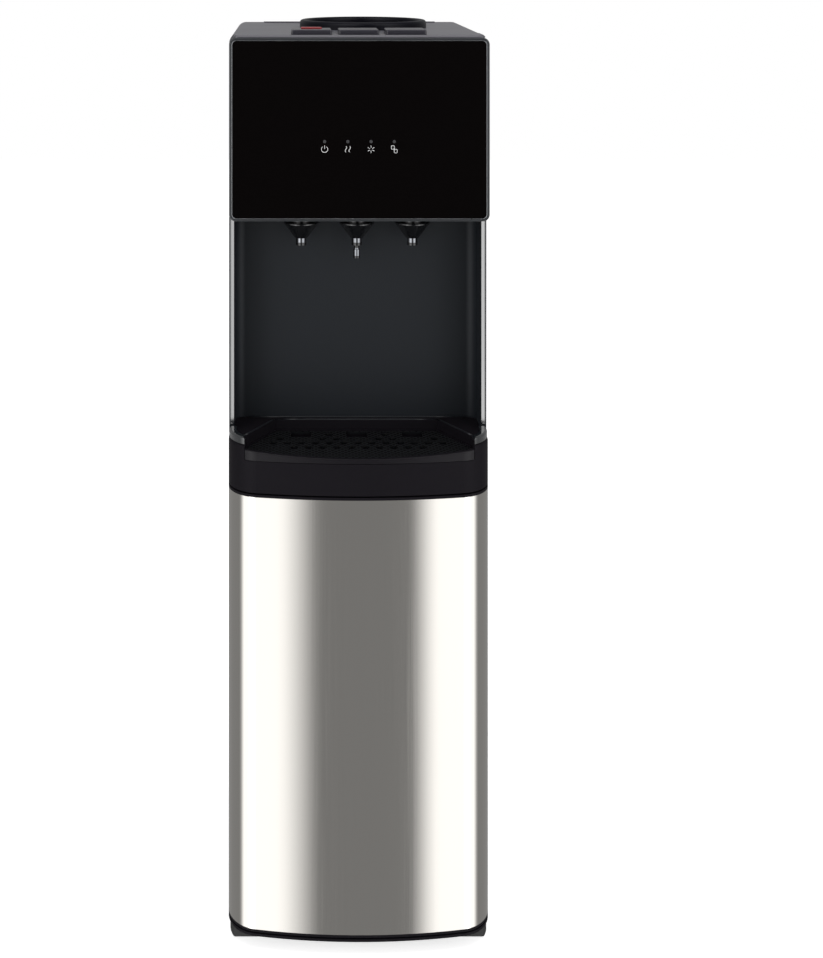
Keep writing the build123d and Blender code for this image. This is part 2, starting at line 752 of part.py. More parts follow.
# Niche liner: U-shaped wall with a lip over the front edges of the side panels, bevelled inwards,
# and a rounded rim on either side of the deck that carries the lip on to the recess
liner_inner = hem_half - WALL
with BuildPart() as niche_liner:
    with BuildSketch(Plane.XY.offset(deck_z)) as wall_plan:
        with Locations((0, (body_front + deck_back) / 2)):
            Rectangle(2 * hem_half, deck_back - body_front)
        fillet(wall_plan.vertices().group_by(Axis.Y)[-1], NICHE_CORNER + WALL)
        with BuildSketch(mode=Mode.SUBTRACT) as space_plan:
            with Locations((0, niche_back - DEPTH / 2)):
                Rectangle(2 * liner_inner, DEPTH)
            fillet(space_plan.vertices().group_by(Axis.Y)[-1], NICHE_CORNER)
        for side in (-1, 1):
            with BuildSketch() as lip_plan:
                with BuildLine():
                    Polyline(
                        (side * half, niche_front),
                        (side * half, body_front),
                        (side * liner_inner, body_front),
                        (side * liner_inner, niche_front + NICHE_LIP_BEVEL),
                        close=True,
                    )
                make_face()
                fillet(lip_plan.vertices().group_by(Axis.Y)[0], NICHE_LIP_ROUND)
    extrude(amount=NICHE_HEIGHT - TAP_PLATE)
    with BuildSketch(Plane.XY.offset(deck_z)):
        add(bow_face(RIM_INSET, niche_front - FIT))
        add(bow_face(RIM_INSET + RIM_WIDTH, body_front), mode=Mode.SUBTRACT)
        with Locations((0, (front_y + niche_front) / 2)):
            Rectangle(2 * (recess_half + FIT), niche_front - front_y, mode=Mode.SUBTRACT)
    extrude(amount=RIM_HEIGHT)
    rim_level = deck_z + RIM_HEIGHT
    rims = niche_liner.edges().filter_by_position(Axis.Z, rim_level - FIT, rim_level + FIT)
    fillet(rims, RIM_ROUND)
save(niche_liner, "niche_liner")

with BuildPart() as tap_plate:
    with BuildSketch(Plane.XY.offset(head_z - TAP_PLATE)):
        with Locations((0, (body_front + deck_back) / 2)):
            Rectangle(2 * hem_half, deck_back - body_front)
        with Locations(*[(x, nozzle_y) for x in nozzle_xs]):
            Circle(NOZZLE_COLLAR_RADIUS + FIT, mode=Mode.SUBTRACT)
    extrude(amount=TAP_PLATE)
save(tap_plate, "tap_plate")


# Nozzles: a flange on the tap plate, a neck, a thin rim over a cone, and a short tip
def nozzle(x, bore, spouted):
    """Outlet nozzle turned about its own upright axis, with or without the small spout below."""
    cone_z = head_z - NOZZLE_COLLAR
    rim_top = cone_z + NOZZLE_RIM
    tip_z = cone_z - NOZZLE_CONE
    end_z = tip_z - NOZZLE_TIP
    profile = [
        (bore, tap_z),
        (NOZZLE_FLANGE_RADIUS, tap_z),
        (NOZZLE_FLANGE_RADIUS, head_z),
        (NOZZLE_COLLAR_RADIUS, head_z),
        (NOZZLE_COLLAR_RADIUS, head_z - TAP_PLATE),
        (NOZZLE_NECK_RADIUS, head_z - TAP_PLATE),
        (NOZZLE_NECK_RADIUS, rim_top),
        (NOZZLE_COLLAR_RADIUS - NOZZLE_RIM_CHAMFER, rim_top),
        (NOZZLE_COLLAR_RADIUS, rim_top - NOZZLE_RIM_CHAMFER),
        (NOZZLE_COLLAR_RADIUS, cone_z),
        (NOZZLE_CONE_RADIUS, tip_z),
        (NOZZLE_TIP_RADIUS, tip_z),
        (NOZZLE_TIP_RADIUS, end_z),
    ]
    if spouted:
        profile += [
            (SPOUT_NECK_RADIUS, end_z),
            (SPOUT_NECK_RADIUS, end_z - SPOUT_NECK),
            (SPOUT_RADIUS, end_z - SPOUT_NECK),
            (SPOUT_RADIUS, end_z - SPOUT_NECK - SPOUT),
        ]
    profile.append((bore, profile[-1][1]))
    with BuildPart() as turned:
        with BuildSketch(facing(nozzle_y, x)):
            with BuildLine():
                Polyline(*profile, close=True)
            make_face()
        revolve(axis=Axis((x, nozzle_y, 0), (0, 0, 1)))
    return turned


save(nozzle(nozzle_xs[0], NOZZLE_BORE, False), "hot_nozzle")
save(nozzle(nozzle_xs[1], SPOUT_BORE, True), "room_nozzle")
save(nozzle(nozzle_xs[2], NOZZLE_BORE, False), "cold_nozzle")

# Push buttons and taps share the line of the push rods
button_xs = [-BUTTON_PITCH, 0.0, BUTTON_PITCH]
button_y = fascia_front + BUTTON_SETBACK + BUTTON_DEPTH / 2
button_top = top_z + BUTTON_RISE
tap_top = tap_z + TAP_HEIGHT
bonnet_top = tap_top + BONNET
rod_z = bonnet_top - ROD_ENTRY
spigot_z = tap_z + TAP_HEIGHT / 2
spigot_end = nozzle_y + TAP_REAR + SPIGOT


def tap_body(x, rod_x):
    """Valve body over a nozzle, with a bonnet bored for the push rod and a rear hose spigot."""
    tap_front = button_y - TAP_FRONT
    tap_rear = nozzle_y + TAP_REAR
    with BuildPart() as tap:
        with BuildSketch(Plane.XY.offset(tap_z)):
            with Locations((x, (tap_front + tap_rear) / 2)):
                RectangleRounded(TAP_WIDTH, tap_rear - tap_front, TAP_CORNER)
        extrude(amount=TAP_HEIGHT)
        with BuildSketch(Plane.XY.offset(tap_top)):
            with Locations((rod_x, button_y)):
                Circle(BONNET_RADIUS)
        extrude(amount=BONNET)
        with BuildSketch(facing(spigot_end)):
            with Locations((x, spigot_z)):
                Circle(SPIGOT_RADIUS)
        extrude(amount=2 * SPIGOT)
        with BuildSketch(Plane.XY.offset(bonnet_top)):
            with Locations((rod_x, button_y)):
                Circle(ROD_RADIUS + ROD_FIT)
        extrude(amount=-ROD_ENTRY - BUTTON_TRAVEL - FIT, mode=Mode.SUBTRACT)
    return tap


save(tap_body(nozzle_xs[0], button_xs[0]), "hot_tap")
save(tap_body(nozzle_xs[1], button_xs[1]), "room_tap")
save(tap_body(nozzle_xs[2], button_xs[2]), "cold_tap")


# Push buttons: a rounded cap over a retaining flange, moulded in one with its push rod
lock_y = button_y + BUTTON_DEPTH / 2 - LOCK_MARGIN - LOCK_DEPTH / 2
lock_z = button_top - LOCK_RECESS


def push_button(x, lockable):
    """Push button with its rod; the lockable one has a recess for the child lock slider."""
    flange_z = rim_z - FIT - BUTTON_FLANGE
    with BuildPart() as button:
        with BuildSketch(Plane.XY.offset(flange_z)):
            with Locations((x, button_y)):
                Rectangle(BUTTON_WIDTH, BUTTON_DEPTH)
        extrude(amount=button_top - flange_z)
        fillet(button.edges().filter_by(Axis.Z), BUTTON_ROUND)
        fillet(button.faces().sort_by(Axis.Z)[-1].edges(), BUTTON_ROUND)
        with BuildSketch(Plane.XY.offset(flange_z)):
            with Locations((x, button_y)):
                Rectangle(BUTTON_WIDTH + 2 * BUTTON_FLANGE_WIDTH, BUTTON_DEPTH)
        extrude(amount=BUTTON_FLANGE)
        with BuildSketch(Plane.XY.offset(rod_z)):
            with Locations((x, button_y)):
                Circle(ROD_RADIUS)
        extrude(amount=flange_z - rod_z)
        if lockable:
            with BuildSketch(Plane.XY.offset(lock_z)):
                with Locations((x, lock_y - LOCK_TRAVEL / 2)):
                    Rectangle(LOCK_WIDTH + 2 * FIT, LOCK_DEPTH + LOCK_TRAVEL + 2 * FIT)
            extrude(amount=LOCK_RECESS, mode=Mode.SUBTRACT)
    return button


save(push_button(button_xs[0], True), "hot_button")
save(push_button(button_xs[1], False), "room_button")
save(push_button(button_xs[2], False), "cold_button")

with BuildPart() as child_lock:
    with BuildSketch(Plane.XY.offset(lock_z)):
        with Locations((button_xs[0], lock_y)):
            Rectangle(LOCK_WIDTH, LOCK_DEPTH)
    extrude(amount=LOCK_HEIGHT)
    fillet(child_lock.faces().sort_by(Axis.Z)[-1].edges(), LOCK_ROUND)
save(child_lock, "child_lock")

# Fascia frame: rounded box in front of the head, with a recess for the panel and a rod window
fascia_mid = (head_z + rim_z) / 2
panel_back = fascia_front + PANEL_RECESS + PANEL
fascia_width = WIDTH - 2 * FASCIA_INSET
panel_width = fascia_width - 2 * FASCIA_RIM
panel_height = FASCIA_HEIGHT - 2 * FASCIA_RIM
panel_corner = FASCIA_CORNER - FASCIA_RIM
backing = panel_back + WALL
light_z = rim_z - LIGHT_DROP
light_xs = [(index - (LIGHT_COUNT - 1) / 2) * LIGHT_PITCH for index in range(LIGHT_COUNT)]
light_centres = [(x, light_z) for x in light_xs]
post_centres = [(-BOARD_POST_SPREAD / 2, light_z), (BOARD_POST_SPREAD / 2, light_z)]
window_width = 2 * BUTTON_PITCH + BUTTON_WIDTH + 2 * BUTTON_FLANGE_WIDTH + 2 * WALL
window_front = button_y - BUTTON_DEPTH / 2 - FIT

with BuildPart() as fascia_frame:
    with BuildSketch(facing(body_front)):
        with Locations((0, fascia_mid)):
            RectangleRounded(fascia_width, FASCIA_HEIGHT, FASCIA_CORNER)
    extrude(amount=body_front - fascia_front)
    fillet(fascia_frame.faces().sort_by(Axis.Y)[0].edges(), FASCIA_ROUND)
    with BuildSketch(facing(panel_back)):
        with Locations((0, fascia_mid)):
            RectangleRounded(panel_width, panel_height, panel_corner)
    extrude(amount=PANEL_RECESS + PANEL, mode=Mode.SUBTRACT)
    with BuildSketch(facing(body_front)):
        with Locations((0, fascia_mid)):
            RectangleRounded(
                fascia_width - 2 * WALL, FASCIA_HEIGHT - 2 * WALL, FASCIA_CORNER - WALL
            )
    extrude(amount=body_front - backing, mode=Mode.SUBTRACT)
    with BuildSketch(facing(backing + BOARD_POST)):
        with Locations(*post_centres):
            Circle(BOARD_POST_RADIUS)
    extrude(amount=BOARD_POST)
    with BuildSketch(facing(backing)):
        with Locations(*light_centres):
            Circle(LIGHT_RADIUS + FIT)
    extrude(amount=WALL, mode=Mode.SUBTRACT)
    with BuildSketch(Plane.XY.offset(rim_z)):
        with Locations((0, (window_front + body_front) / 2)):
            Rectangle(window_width, body_front - window_front)
    extrude(amount=-WALL, mode=Mode.SUBTRACT)
save(fascia_frame, "fascia_frame")

with BuildPart() as front_panel:
    with BuildSketch(facing(panel_back)):
        with Locations((0, fascia_mid)):
            RectangleRounded(panel_width - 2 * FIT, panel_height - 2 * FIT, panel_corner - FIT)
        with Locations(*light_centres):
            Circle(LIGHT_RADIUS + RUNNING_FIT, mode=Mode.SUBTRACT)
    extrude(amount=PANEL)
    rim_wire = front_panel.faces().sort_by(Axis.Y)[0].outer_wire()
    chamfer(rim_wire.edges(), PANEL_CHAMFER)
save(front_panel, "front_panel")

# Indicator board on its posts, and one light pipe for each indicator
board_front = backing + BOARD_POST
with BuildPart() as indicator_board:
    with BuildSketch(facing(board_front + BOARD)):
        with Locations((0, light_z)):
            Rectangle(BOARD_WIDTH, BOARD_HEIGHT)
    extrude(amount=BOARD)
save(indicator_board, "indicator_board")

with BuildPart() as indicator_lights:
    with BuildSketch(facing(board_front)):
        with Locations(*light_centres):
            Circle(LIGHT_FLANGE_RADIUS)
    extrude(amount=LIGHT_FLANGE)
    with BuildSketch(facing(board_front - LIGHT_FLANGE)):
        with Locations(*light_centres):
            Circle(LIGHT_RADIUS)
    extrude(amount=board_front - LIGHT_FLANGE - fascia_front - PANEL_RECESS)
save(indicator_lights, "indicator_lights")

# Top cover: rounded shell open below and in front, with a tongue over the fascia
seat_y = (fascia_front + body_back) / 2 + SEAT_OFFSET
tongue_half = half - TONGUE_INSET
tongue_front = fascia_front + TONGUE_SETBACK


def cover_shell():
    """Top and skirt of the cover, with rounded upper edges at the sides and the rear."""
    with BuildPart() as shell:
        with BuildSketch(Plane.XY.offset(skirt_z)) as skirt_plan:
            with Locations((0, (body_front + body_back) / 2)):
                Rectangle(WIDTH, body_back - body_front)
            fillet(skirt_plan.vertices().group_by(Axis.Y)[-1], COVER_REAR_CORNER)
        extrude(amount=SKIRT_HEIGHT)
        fillet(shell.faces().sort_by(Axis.Z)[-1].edges().sort_by(Axis.Y)[1:], COVER_EDGE)
        openings = [shell.faces().sort_by(Axis.Z)[0], shell.faces().sort_by(Axis.Y)[0]]
        offset(amount=-WALL, openings=openings)
    return shell.part


with BuildPart() as top_cover:
    with BuildSketch(Plane.XY.offset(rim_z)) as tongue_plan:
        with Locations((0, (tongue_front + body_front) / 2)):
            Rectangle(2 * tongue_half, body_front - tongue_front)
        fillet(tongue_plan.vertices().group_by(Axis.Y)[0], TONGUE_CORNER)
    extrude(amount=COVER_RISE)
    chamfer(top_cover.faces().sort_by(Axis.Z)[-1].edges().sort_by(Axis.Y)[:-1], TONGUE_CHAMFER)
    add(cover_shell())
    with BuildSketch(Plane.XY.offset(top_z)):
        with Locations((0, body_back - RIDGE_SETBACK)):
            RectangleRounded(RIDGE_WIDTH, RIDGE_DEPTH, RIDGE_DEPTH / 3)
    extrude(amount=RIDGE_HEIGHT)
    with BuildSketch(Plane.XY.offset(top_z - SEAT_COLLAR)):
        with Locations((SEAT_X, seat_y)):
            Circle(SEAT_BODY_RADIUS + FIT + WALL)
    extrude(amount=SEAT_COLLAR - WALL)
    with BuildSketch(Plane.XY.offset(top_z - SEAT_COLLAR)):
        with Locations((SEAT_X, seat_y)):
            Circle(SEAT_BODY_RADIUS + FIT)
    extrude(amount=SEAT_COLLAR, mode=Mode.SUBTRACT)
    with BuildSketch(Plane.XY.offset(top_z)):
        with Locations(*[(x, button_y) for x in button_xs]):
            RectangleRounded(BUTTON_WIDTH + 2 * FIT, BUTTON_DEPTH + 2 * FIT, BUTTON_ROUND)
    extrude(amount=-COVER_RISE, mode=Mode.SUBTRACT)
save(top_cover, "top_cover")

# Bottle seat: rounded rim on the cover, funnel and throat, with a probe standing in its floor
seat_axis = Axis((SEAT_X, seat_y, 0), (0, 0, 1))
seat_top = top_z + SEAT_RIM
seat_floor = top_z - SEAT_DEPTH
throat_z = top_z - SEAT_THROAT_DROP
with BuildPart() as bottle_seat:
    with BuildSketch(facing(seat_y, SEAT_X)) as seat_profile:
        with BuildLine():
            Polyline(
                (PROBE_TAIL_RADIUS + FIT, seat_floor),
                (SEAT_THROAT_RADIUS, seat_floor),
                (SEAT_THROAT_RADIUS, throat_z),
                (SEAT_BODY_RADIUS, top_z - SEAT_COLLAR),
                (SEAT_BODY_RADIUS, top_z),
                (SEAT_RIM_RADIUS, top_z),
                (SEAT_RIM_RADIUS, seat_top),
                (SEAT_BODY_RADIUS - SEAT_WALL, seat_top),
                (SEAT_BODY_RADIUS - SEAT_WALL, top_z - SEAT_COLLAR),
                (SEAT_THROAT_RADIUS - SEAT_WALL, throat_z),
                (SEAT_THROAT_RADIUS - SEAT_WALL, seat_floor + SEAT_WALL),
                (PROBE_TAIL_RADIUS + FIT, seat_floor + SEAT_WALL),
                close=True,
            )
        make_face()
        fillet(seat_profile.vertices().group_by(Axis.Y)[-1], SEAT_RIM_ROUND)
    revolve(axis=seat_axis)
save(bottle_seat, "bottle_seat")

probe_z = seat_floor + SEAT_WALL
probe_tip = probe_z + PROBE_HEIGHT
with BuildPart() as bottle_probe:
    with BuildSketch(facing(seat_y, SEAT_X)) as probe_profile:
        with BuildLine():
            Polyline(
                (PROBE_BORE, seat_floor - PROBE_TAIL),
                (PROBE_TAIL_RADIUS, seat_floor - PROBE_TAIL),
                (PROBE_TAIL_RADIUS, probe_z),
                (PROBE_FLANGE_RADIUS, probe_z),
                (PROBE_FLANGE_RADIUS, probe_z + PROBE_FLANGE),
                (PROBE_RADIUS, probe_z + PROBE_FLANGE),
                (PROBE_TIP_RADIUS, probe_tip),
                (PROBE_BORE, probe_tip),
                close=True,
            )
        make_face()
    revolve(axis=seat_axis)
    with BuildSketch(facing(seat_y + PROBE_RADIUS, SEAT_X)):
        with Locations((0, probe_tip - PROBE_HEIGHT / 3)):
            RectangleRounded(PROBE_BORE, PROBE_HEIGHT / 3, PROBE_BORE / 3)
    extrude(amount=2 * PROBE_RADIUS, mode=Mode.SUBTRACT)
save(bottle_probe, "bottle_probe")

# Tank shelf, cold tank in its foam, evaporator jacket and lid
shelf_z = head_z + SHELF_RISE
foam_z = shelf_z + SHELF
tank_z = foam_z + FOAM_FLOOR + FIT
lid_z = seat_floor - TANK_LID_GAP - TANK_LID
foam_bore = TANK_RADIUS + JACKET + 3 * FIT
stub_end = shelf_z - STUB_REACH
cold_stub = (STUB_SPREAD, seat_y - STUB_FORWARD)
room_stub = (0.0, seat_y - STUB_FORWARD)
feed_stub = (STUB_SPREAD, seat_y + STUB_REARWARD)
stub_centres = [cold_stub, room_stub, feed_stub]
shelf_front = seat_y - FOAM_SIZE / 2 - SHELF_MARGIN
shelf_back = seat_y + FOAM_SIZE / 2 + SHELF_MARGIN

with BuildPart() as tank_shelf:
    with BuildSketch(Plane.XY.offset(shelf_z)):
        with Locations((0, (shelf_front + shelf_back) / 2)):
            Rectangle(2 * inner_half, shelf_back - shelf_front)
        with Locations(*stub_centres):
            Circle(STUB_RADIUS + FIT, mode=Mode.SUBTRACT)
    extrude(amount=SHELF)
save(tank_shelf, "tank_shelf")

with BuildPart() as cold_tank_foam:
    with BuildSketch(Plane.XY.offset(foam_z)):
        with Locations((SEAT_X, seat_y)):
            RectangleRounded(FOAM_SIZE, FOAM_SIZE, FOAM_CORNER)
        with Locations(*stub_centres):
            Circle(STUB_RADIUS + FIT, mode=Mode.SUBTRACT)
    extrude(amount=lid_z - foam_z)
    with BuildSketch(Plane.XY.offset(foam_z + FOAM_FLOOR)):
        with Locations((SEAT_X, seat_y)):
            Circle(foam_bore)
    extrude(amount=lid_z - foam_z - FOAM_FLOOR, mode=Mode.SUBTRACT)
save(cold_tank_foam, "cold_tank_foam")

with BuildPart() as cold_tank:
    with BuildSketch(Plane.XY.offset(tank_z)):
        with Locations((SEAT_X, seat_y)):
            Circle(TANK_RADIUS)
    extrude(amount=lid_z - tank_z)
    with BuildSketch(Plane.XY.offset(tank_z + TANK_WALL)):
        with Locations((SEAT_X, seat_y)):
            Circle(TANK_RADIUS - TANK_WALL)
    extrude(amount=lid_z - tank_z, mode=Mode.SUBTRACT)
    with BuildSketch(Plane.XY.offset(stub_end)):
        with Locations(*stub_centres):
            Circle(STUB_RADIUS)
    extrude(amount=tank_z - stub_end)
save(cold_tank, "cold_tank")

with BuildPart() as evaporator_jacket:
    with BuildSketch(Plane.XY.offset(tank_z + JACKET_MARGIN)):
        with Locations((SEAT_X, seat_y)):
            Circle(TANK_RADIUS + FIT + JACKET)
            Circle(TANK_RADIUS + FIT, mode=Mode.SUBTRACT)
    extrude(amount=lid_z - tank_z - 2 * JACKET_MARGIN)
save(evaporator_jacket, "evaporator_jacket")

with BuildPart() as cold_tank_lid:
    with BuildSketch(Plane.XY.offset(lid_z)):
        with Locations((SEAT_X, seat_y)):
            Circle(foam_bore + WALL)
            Circle(PROBE_TAIL_RADIUS + WALL, mode=Mode.SUBTRACT)
    extrude(amount=TANK_LID)
save(cold_tank_lid, "cold_tank_lid")

# Hot tank behind the niche: domed shell with end stubs, held by a band on the rear panel
hot_z = deck_z + HOT_RISE
hot_side_z = hot_z + HOT_DOME
hot_side_top = hot_side_z + HOT_SIDE
hot_top = hot_side_top + HOT_DOME
hot_axis = Axis((HOT_X, HOT_Y, 0), (0, 0, 1))
hot_mid = (hot_side_z + hot_side_top) / 2
hot_dome_half = HOT_RADIUS - STUB_RADIUS
hollow_half = hot_dome_half - HOT_WALL
hollow_dome = HOT_DOME - HOT_WALL
panel_inner = body_back - SHEET
with BuildPart() as hot_tank:
    with BuildSketch(facing(HOT_Y, HOT_X)):
        with BuildLine():
            Line((0, hot_z - HOT_STUB), (STUB_RADIUS, hot_z - HOT_STUB))
            Line((STUB_RADIUS, hot_z - HOT_STUB), (STUB_RADIUS, hot_z))
            EllipticalCenterArc((STUB_RADIUS, hot_side_z), hot_dome_half, HOT_DOME, 270, arc_size=90)
            Line((HOT_RADIUS, hot_side_z), (HOT_RADIUS, hot_side_top))
            EllipticalCenterArc((STUB_RADIUS, hot_side_top), hot_dome_half, HOT_DOME, 0, arc_size=90)
            Line((STUB_RADIUS, hot_top), (STUB_RADIUS, hot_top + HOT_STUB))
            Line((STUB_RADIUS, hot_top + HOT_STUB), (0, hot_top + HOT_STUB))
            Line((0, hot_top + HOT_STUB), (0, hot_z - HOT_STUB))
        make_face()
    revolve(axis=hot_axis)
    with BuildSketch(facing(HOT_Y, HOT_X)):
        with BuildLine():
            Polyline((STUB_RADIUS, hot_z + HOT_WALL), (0, hot_z + HOT_WALL), (0, hot_top - HOT_WALL))
            Line((0, hot_top - HOT_WALL), (STUB_RADIUS, hot_top - HOT_WALL))
            EllipticalCenterArc((STUB_RADIUS, hot_side_top), hollow_half, hollow_dome, 0, arc_size=90)
            Line((HOT_RADIUS - HOT_WALL, hot_side_top), (HOT_RADIUS - HOT_WALL, hot_side_z))
            EllipticalCenterArc((STUB_RADIUS, hot_side_z), hollow_half, hollow_dome, 270, arc_size=90)
        make_face()
    revolve(axis=hot_axis, mode=Mode.SUBTRACT)
    with BuildSketch(Plane.XY.offset(hot_z - HOT_STUB)):
        with Locations((HOT_X, HOT_Y)):
            Circle(HOT_BORE)
    extrude(amount=hot_top - hot_z + 2 * HOT_STUB, mode=Mode.SUBTRACT)
save(hot_tank, "hot_tank")

with BuildPart() as hot_tank_bracket:
    with BuildSketch(Plane.XY.offset(hot_mid - HOT_BAND_HEIGHT / 2)):
        with Locations((HOT_X, (HOT_Y + panel_inner) / 2)):
            Rectangle(HOT_LEG, panel_inner - HOT_Y)
        with Locations((HOT_X, HOT_Y)):
            Circle(HOT_RADIUS + FIT + HOT_BAND)
            Circle(HOT_RADIUS + FIT, mode=Mode.SUBTRACT)
    extrude(amount=HOT_BAND_HEIGHT)
save(hot_tank_bracket, "hot_tank_bracket")

with BuildPart() as thermostats:
    with BuildSketch(Plane.YZ.offset(HOT_X - HOT_RADIUS - FIT)):
        with Locations((HOT_Y, hot_mid - THERMOSTAT_SPACING), (HOT_Y, hot_mid + THERMOSTAT_SPACING)):
            Circle(THERMOSTAT_RADIUS)
    extrude(amount=-THERMOSTAT)
save(thermostats, "thermostats")

# Water tubes: tank to taps, feed to the hot tank, hot outlet and drain
drain_z = deck_z + DRAIN_RISE
drain_end = body_back - DRAIN_IN
hot_inlet = hot_z - HOT_STUB
hot_outlet = hot_top + HOT_STUB
tube_jog = TUBE_BEND + TUBE_RADIUS
feed_line = hot_inlet - tube_jog
drain_root = HOT_X - HOT_RADIUS / 2
tube_routes = [
    [
        (nozzle_xs[2], spigot_end, spigot_z),
        (nozzle_xs[2], spigot_end + tube_jog, spigot_z),
        (*cold_stub, spigot_z),
        (*cold_stub, stub_end),
    ],
    [
        (nozzle_xs[1], spigot_end, spigot_z),
        (*room_stub, spigot_z),
        (*room_stub, stub_end),
    ],
    [
        (nozzle_xs[0], spigot_end, spigot_z),
        (nozzle_xs[0], HOT_Y, spigot_z),
        (HOT_X, HOT_Y, spigot_z),
        (HOT_X, HOT_Y, hot_outlet),
    ],
    [
        (*feed_stub, stub_end),
        (*feed_stub, feed_line),
        (HOT_X, HOT_Y, feed_line),
        (HOT_X, HOT_Y, hot_inlet),
    ],
    [
        (drain_root, HOT_Y, hot_z),
        (drain_root, HOT_Y, drain_z),
        (drain_x, HOT_Y, drain_z),
        (drain_x, drain_end, drain_z),
    ],
]


def run_of_pipe(route, radius, bend):
    """Round rod along straight runs joined by tangent bends."""
    with BuildPart() as pipe:
        with BuildLine() as path:
            FilletPolyline(*route, radius=bend)
        with BuildSketch(Plane(origin=path.line @ 0, z_dir=path.line % 0)):
            Circle(radius)
        sweep(path=path.line)
    return pipe.part


with BuildPart() as water_tubes:
    for route in tube_routes:
        add(run_of_pipe(route, TUBE_RADIUS, TUBE_BEND))
save(water_tubes, "water_tubes")

# Compressor on its plate and grommets, with its terminal cover
bay_y = (cabinet_back + SHEET + body_back) / 2
plate_z = floor_z + GROMMET
can_z = plate_z + COMPRESSOR_PLATE
can_side_z = can_z + COMPRESSOR_BELLY
can_seam_z = can_side_z + COMPRESSOR_SIDE
can_foot = COMPRESSOR_RADIUS - COMPRESSOR_BELLY
can_top = can_seam_z + COMPRESSOR_DOME
can_crown = COMPRESSOR_RADIUS - COMPRESSOR_DOME
compressor_axis = Axis((COMPRESSOR_X, bay_y, 0), (0, 0, 1))
with BuildPart() as compressor:
    with BuildSketch(facing(bay_y, COMPRESSOR_X)):
        with BuildLine():
            Line((0, can_z), (can_foot, can_z))
            JernArc((can_foot, can_z), (1, 0), COMPRESSOR_BELLY, 90)
            Polyline(
                (COMPRESSOR_RADIUS, can_side_z),
                (COMPRESSOR_RADIUS, can_seam_z - COMPRESSOR_SEAM),
                (COMPRESSOR_RADIUS + COMPRESSOR_SEAM, can_seam_z - COMPRESSOR_SEAM),
                (COMPRESSOR_RADIUS + COMPRESSOR_SEAM, can_seam_z),
                (COMPRESSOR_RADIUS, can_seam_z),
            )
            JernArc((COMPRESSOR_RADIUS, can_seam_z), (0, 1), COMPRESSOR_DOME, 90)
            Polyline((can_crown, can_top), (0, can_top), (0, can_z))
        make_face()
    revolve(axis=compressor_axis)
    with BuildSketch(Plane.XY.offset(plate_z)):
        with Locations((COMPRESSOR_X, bay_y)):
            RectangleRounded(COMPRESSOR_PLATE_WIDTH, COMPRESSOR_PLATE_DEPTH, GROMMET_RADIUS)
    extrude(amount=COMPRESSOR_PLATE)
save(compressor, "compressor")

grommet_pitch_x = COMPRESSOR_PLATE_WIDTH - 2 * GROMMET_INSET
grommet_pitch_y = COMPRESSOR_PLATE_DEPTH - 2 * GROMMET_INSET
with BuildPart() as compressor_grommets:
    with BuildSketch(Plane.XY.offset(floor_z)):
        with Locations((COMPRESSOR_X, bay_y)):
            with GridLocations(grommet_pitch_x, grommet_pitch_y, 2, 2):
                Circle(GROMMET_RADIUS)
    extrude(amount=GROMMET)
save(compressor_grommets, "compressor_grommets")

terminal_z = can_seam_z - COMPRESSOR_SEAM - FIT - TERMINAL_HEIGHT
with BuildPart() as terminal_cover:
    with BuildSketch(Plane.YZ.offset(COMPRESSOR_X + COMPRESSOR_RADIUS + FIT)):
        with Locations((bay_y, terminal_z + TERMINAL_HEIGHT / 2)):
            RectangleRounded(TERMINAL_DEPTH, TERMINAL_HEIGHT, TERMINAL_ROUND)
    extrude(amount=TERMINAL_WIDTH)
    fillet(terminal_cover.faces().sort_by(Axis.X)[-1].edges(), TERMINAL_ROUND / 2)
save(terminal_cover, "terminal_cover")

# Rear panel: sheet with louvre slots, closing the back above the open compressor bay
panel_z = floor_z + REAR_OPENING
switch_z = skirt_z - SWITCH_DROP
gland_z = panel_z + GLAND_RISE
with BuildPart() as rear_panel:
    with BuildSketch(facing(body_back)):
        with Locations((0, (panel_z + skirt_z) / 2)):
            Rectangle(2 * hem_half, skirt_z - panel_z)
        with Locations((drain_x, drain_z)):
            Circle(DRAIN_RADIUS + FIT, mode=Mode.SUBTRACT)
        with Locations((gland_x, gland_z)):
            Circle(GLAND_RADIUS + FIT, mode=Mode.SUBTRACT)
        with Locations((switch_x, switch_z)):
            Rectangle(BEZEL_SLEEVE_WIDTH + 2 * FIT, BEZEL_SLEEVE_HEIGHT + 2 * FIT, mode=Mode.SUBTRACT)
        with Locations((-LOUVRE_OFFSET, skirt_z - LOUVRE_DROP)):
            with GridLocations(0, LOUVRE_PITCH, 1, LOUVRE_COUNT):
                SlotOverall(LOUVRE_WIDTH, LOUVRE_HEIGHT, mode=Mode.SUBTRACT)
    extrude(amount=SHEET)
save(rear_panel, "rear_panel")

screw_rise = (skirt_z - panel_z - 2 * SCREW_MARGIN) / (SCREW_ROWS - 1)
with BuildPart() as panel_screws:
    with BuildSketch(facing(body_back + SCREW_HEAD)):
        with Locations((0, (panel_z + skirt_z) / 2)):
            with GridLocations(2 * (hem_half - SCREW_INSET), screw_rise, 2, SCREW_ROWS):
                Circle(SCREW_RADIUS)
    extrude(amount=SCREW_HEAD)
    fillet(panel_screws.faces().group_by(Axis.Y)[-1].edges(), SCREW_ROUND)
save(panel_screws, "panel_screws")

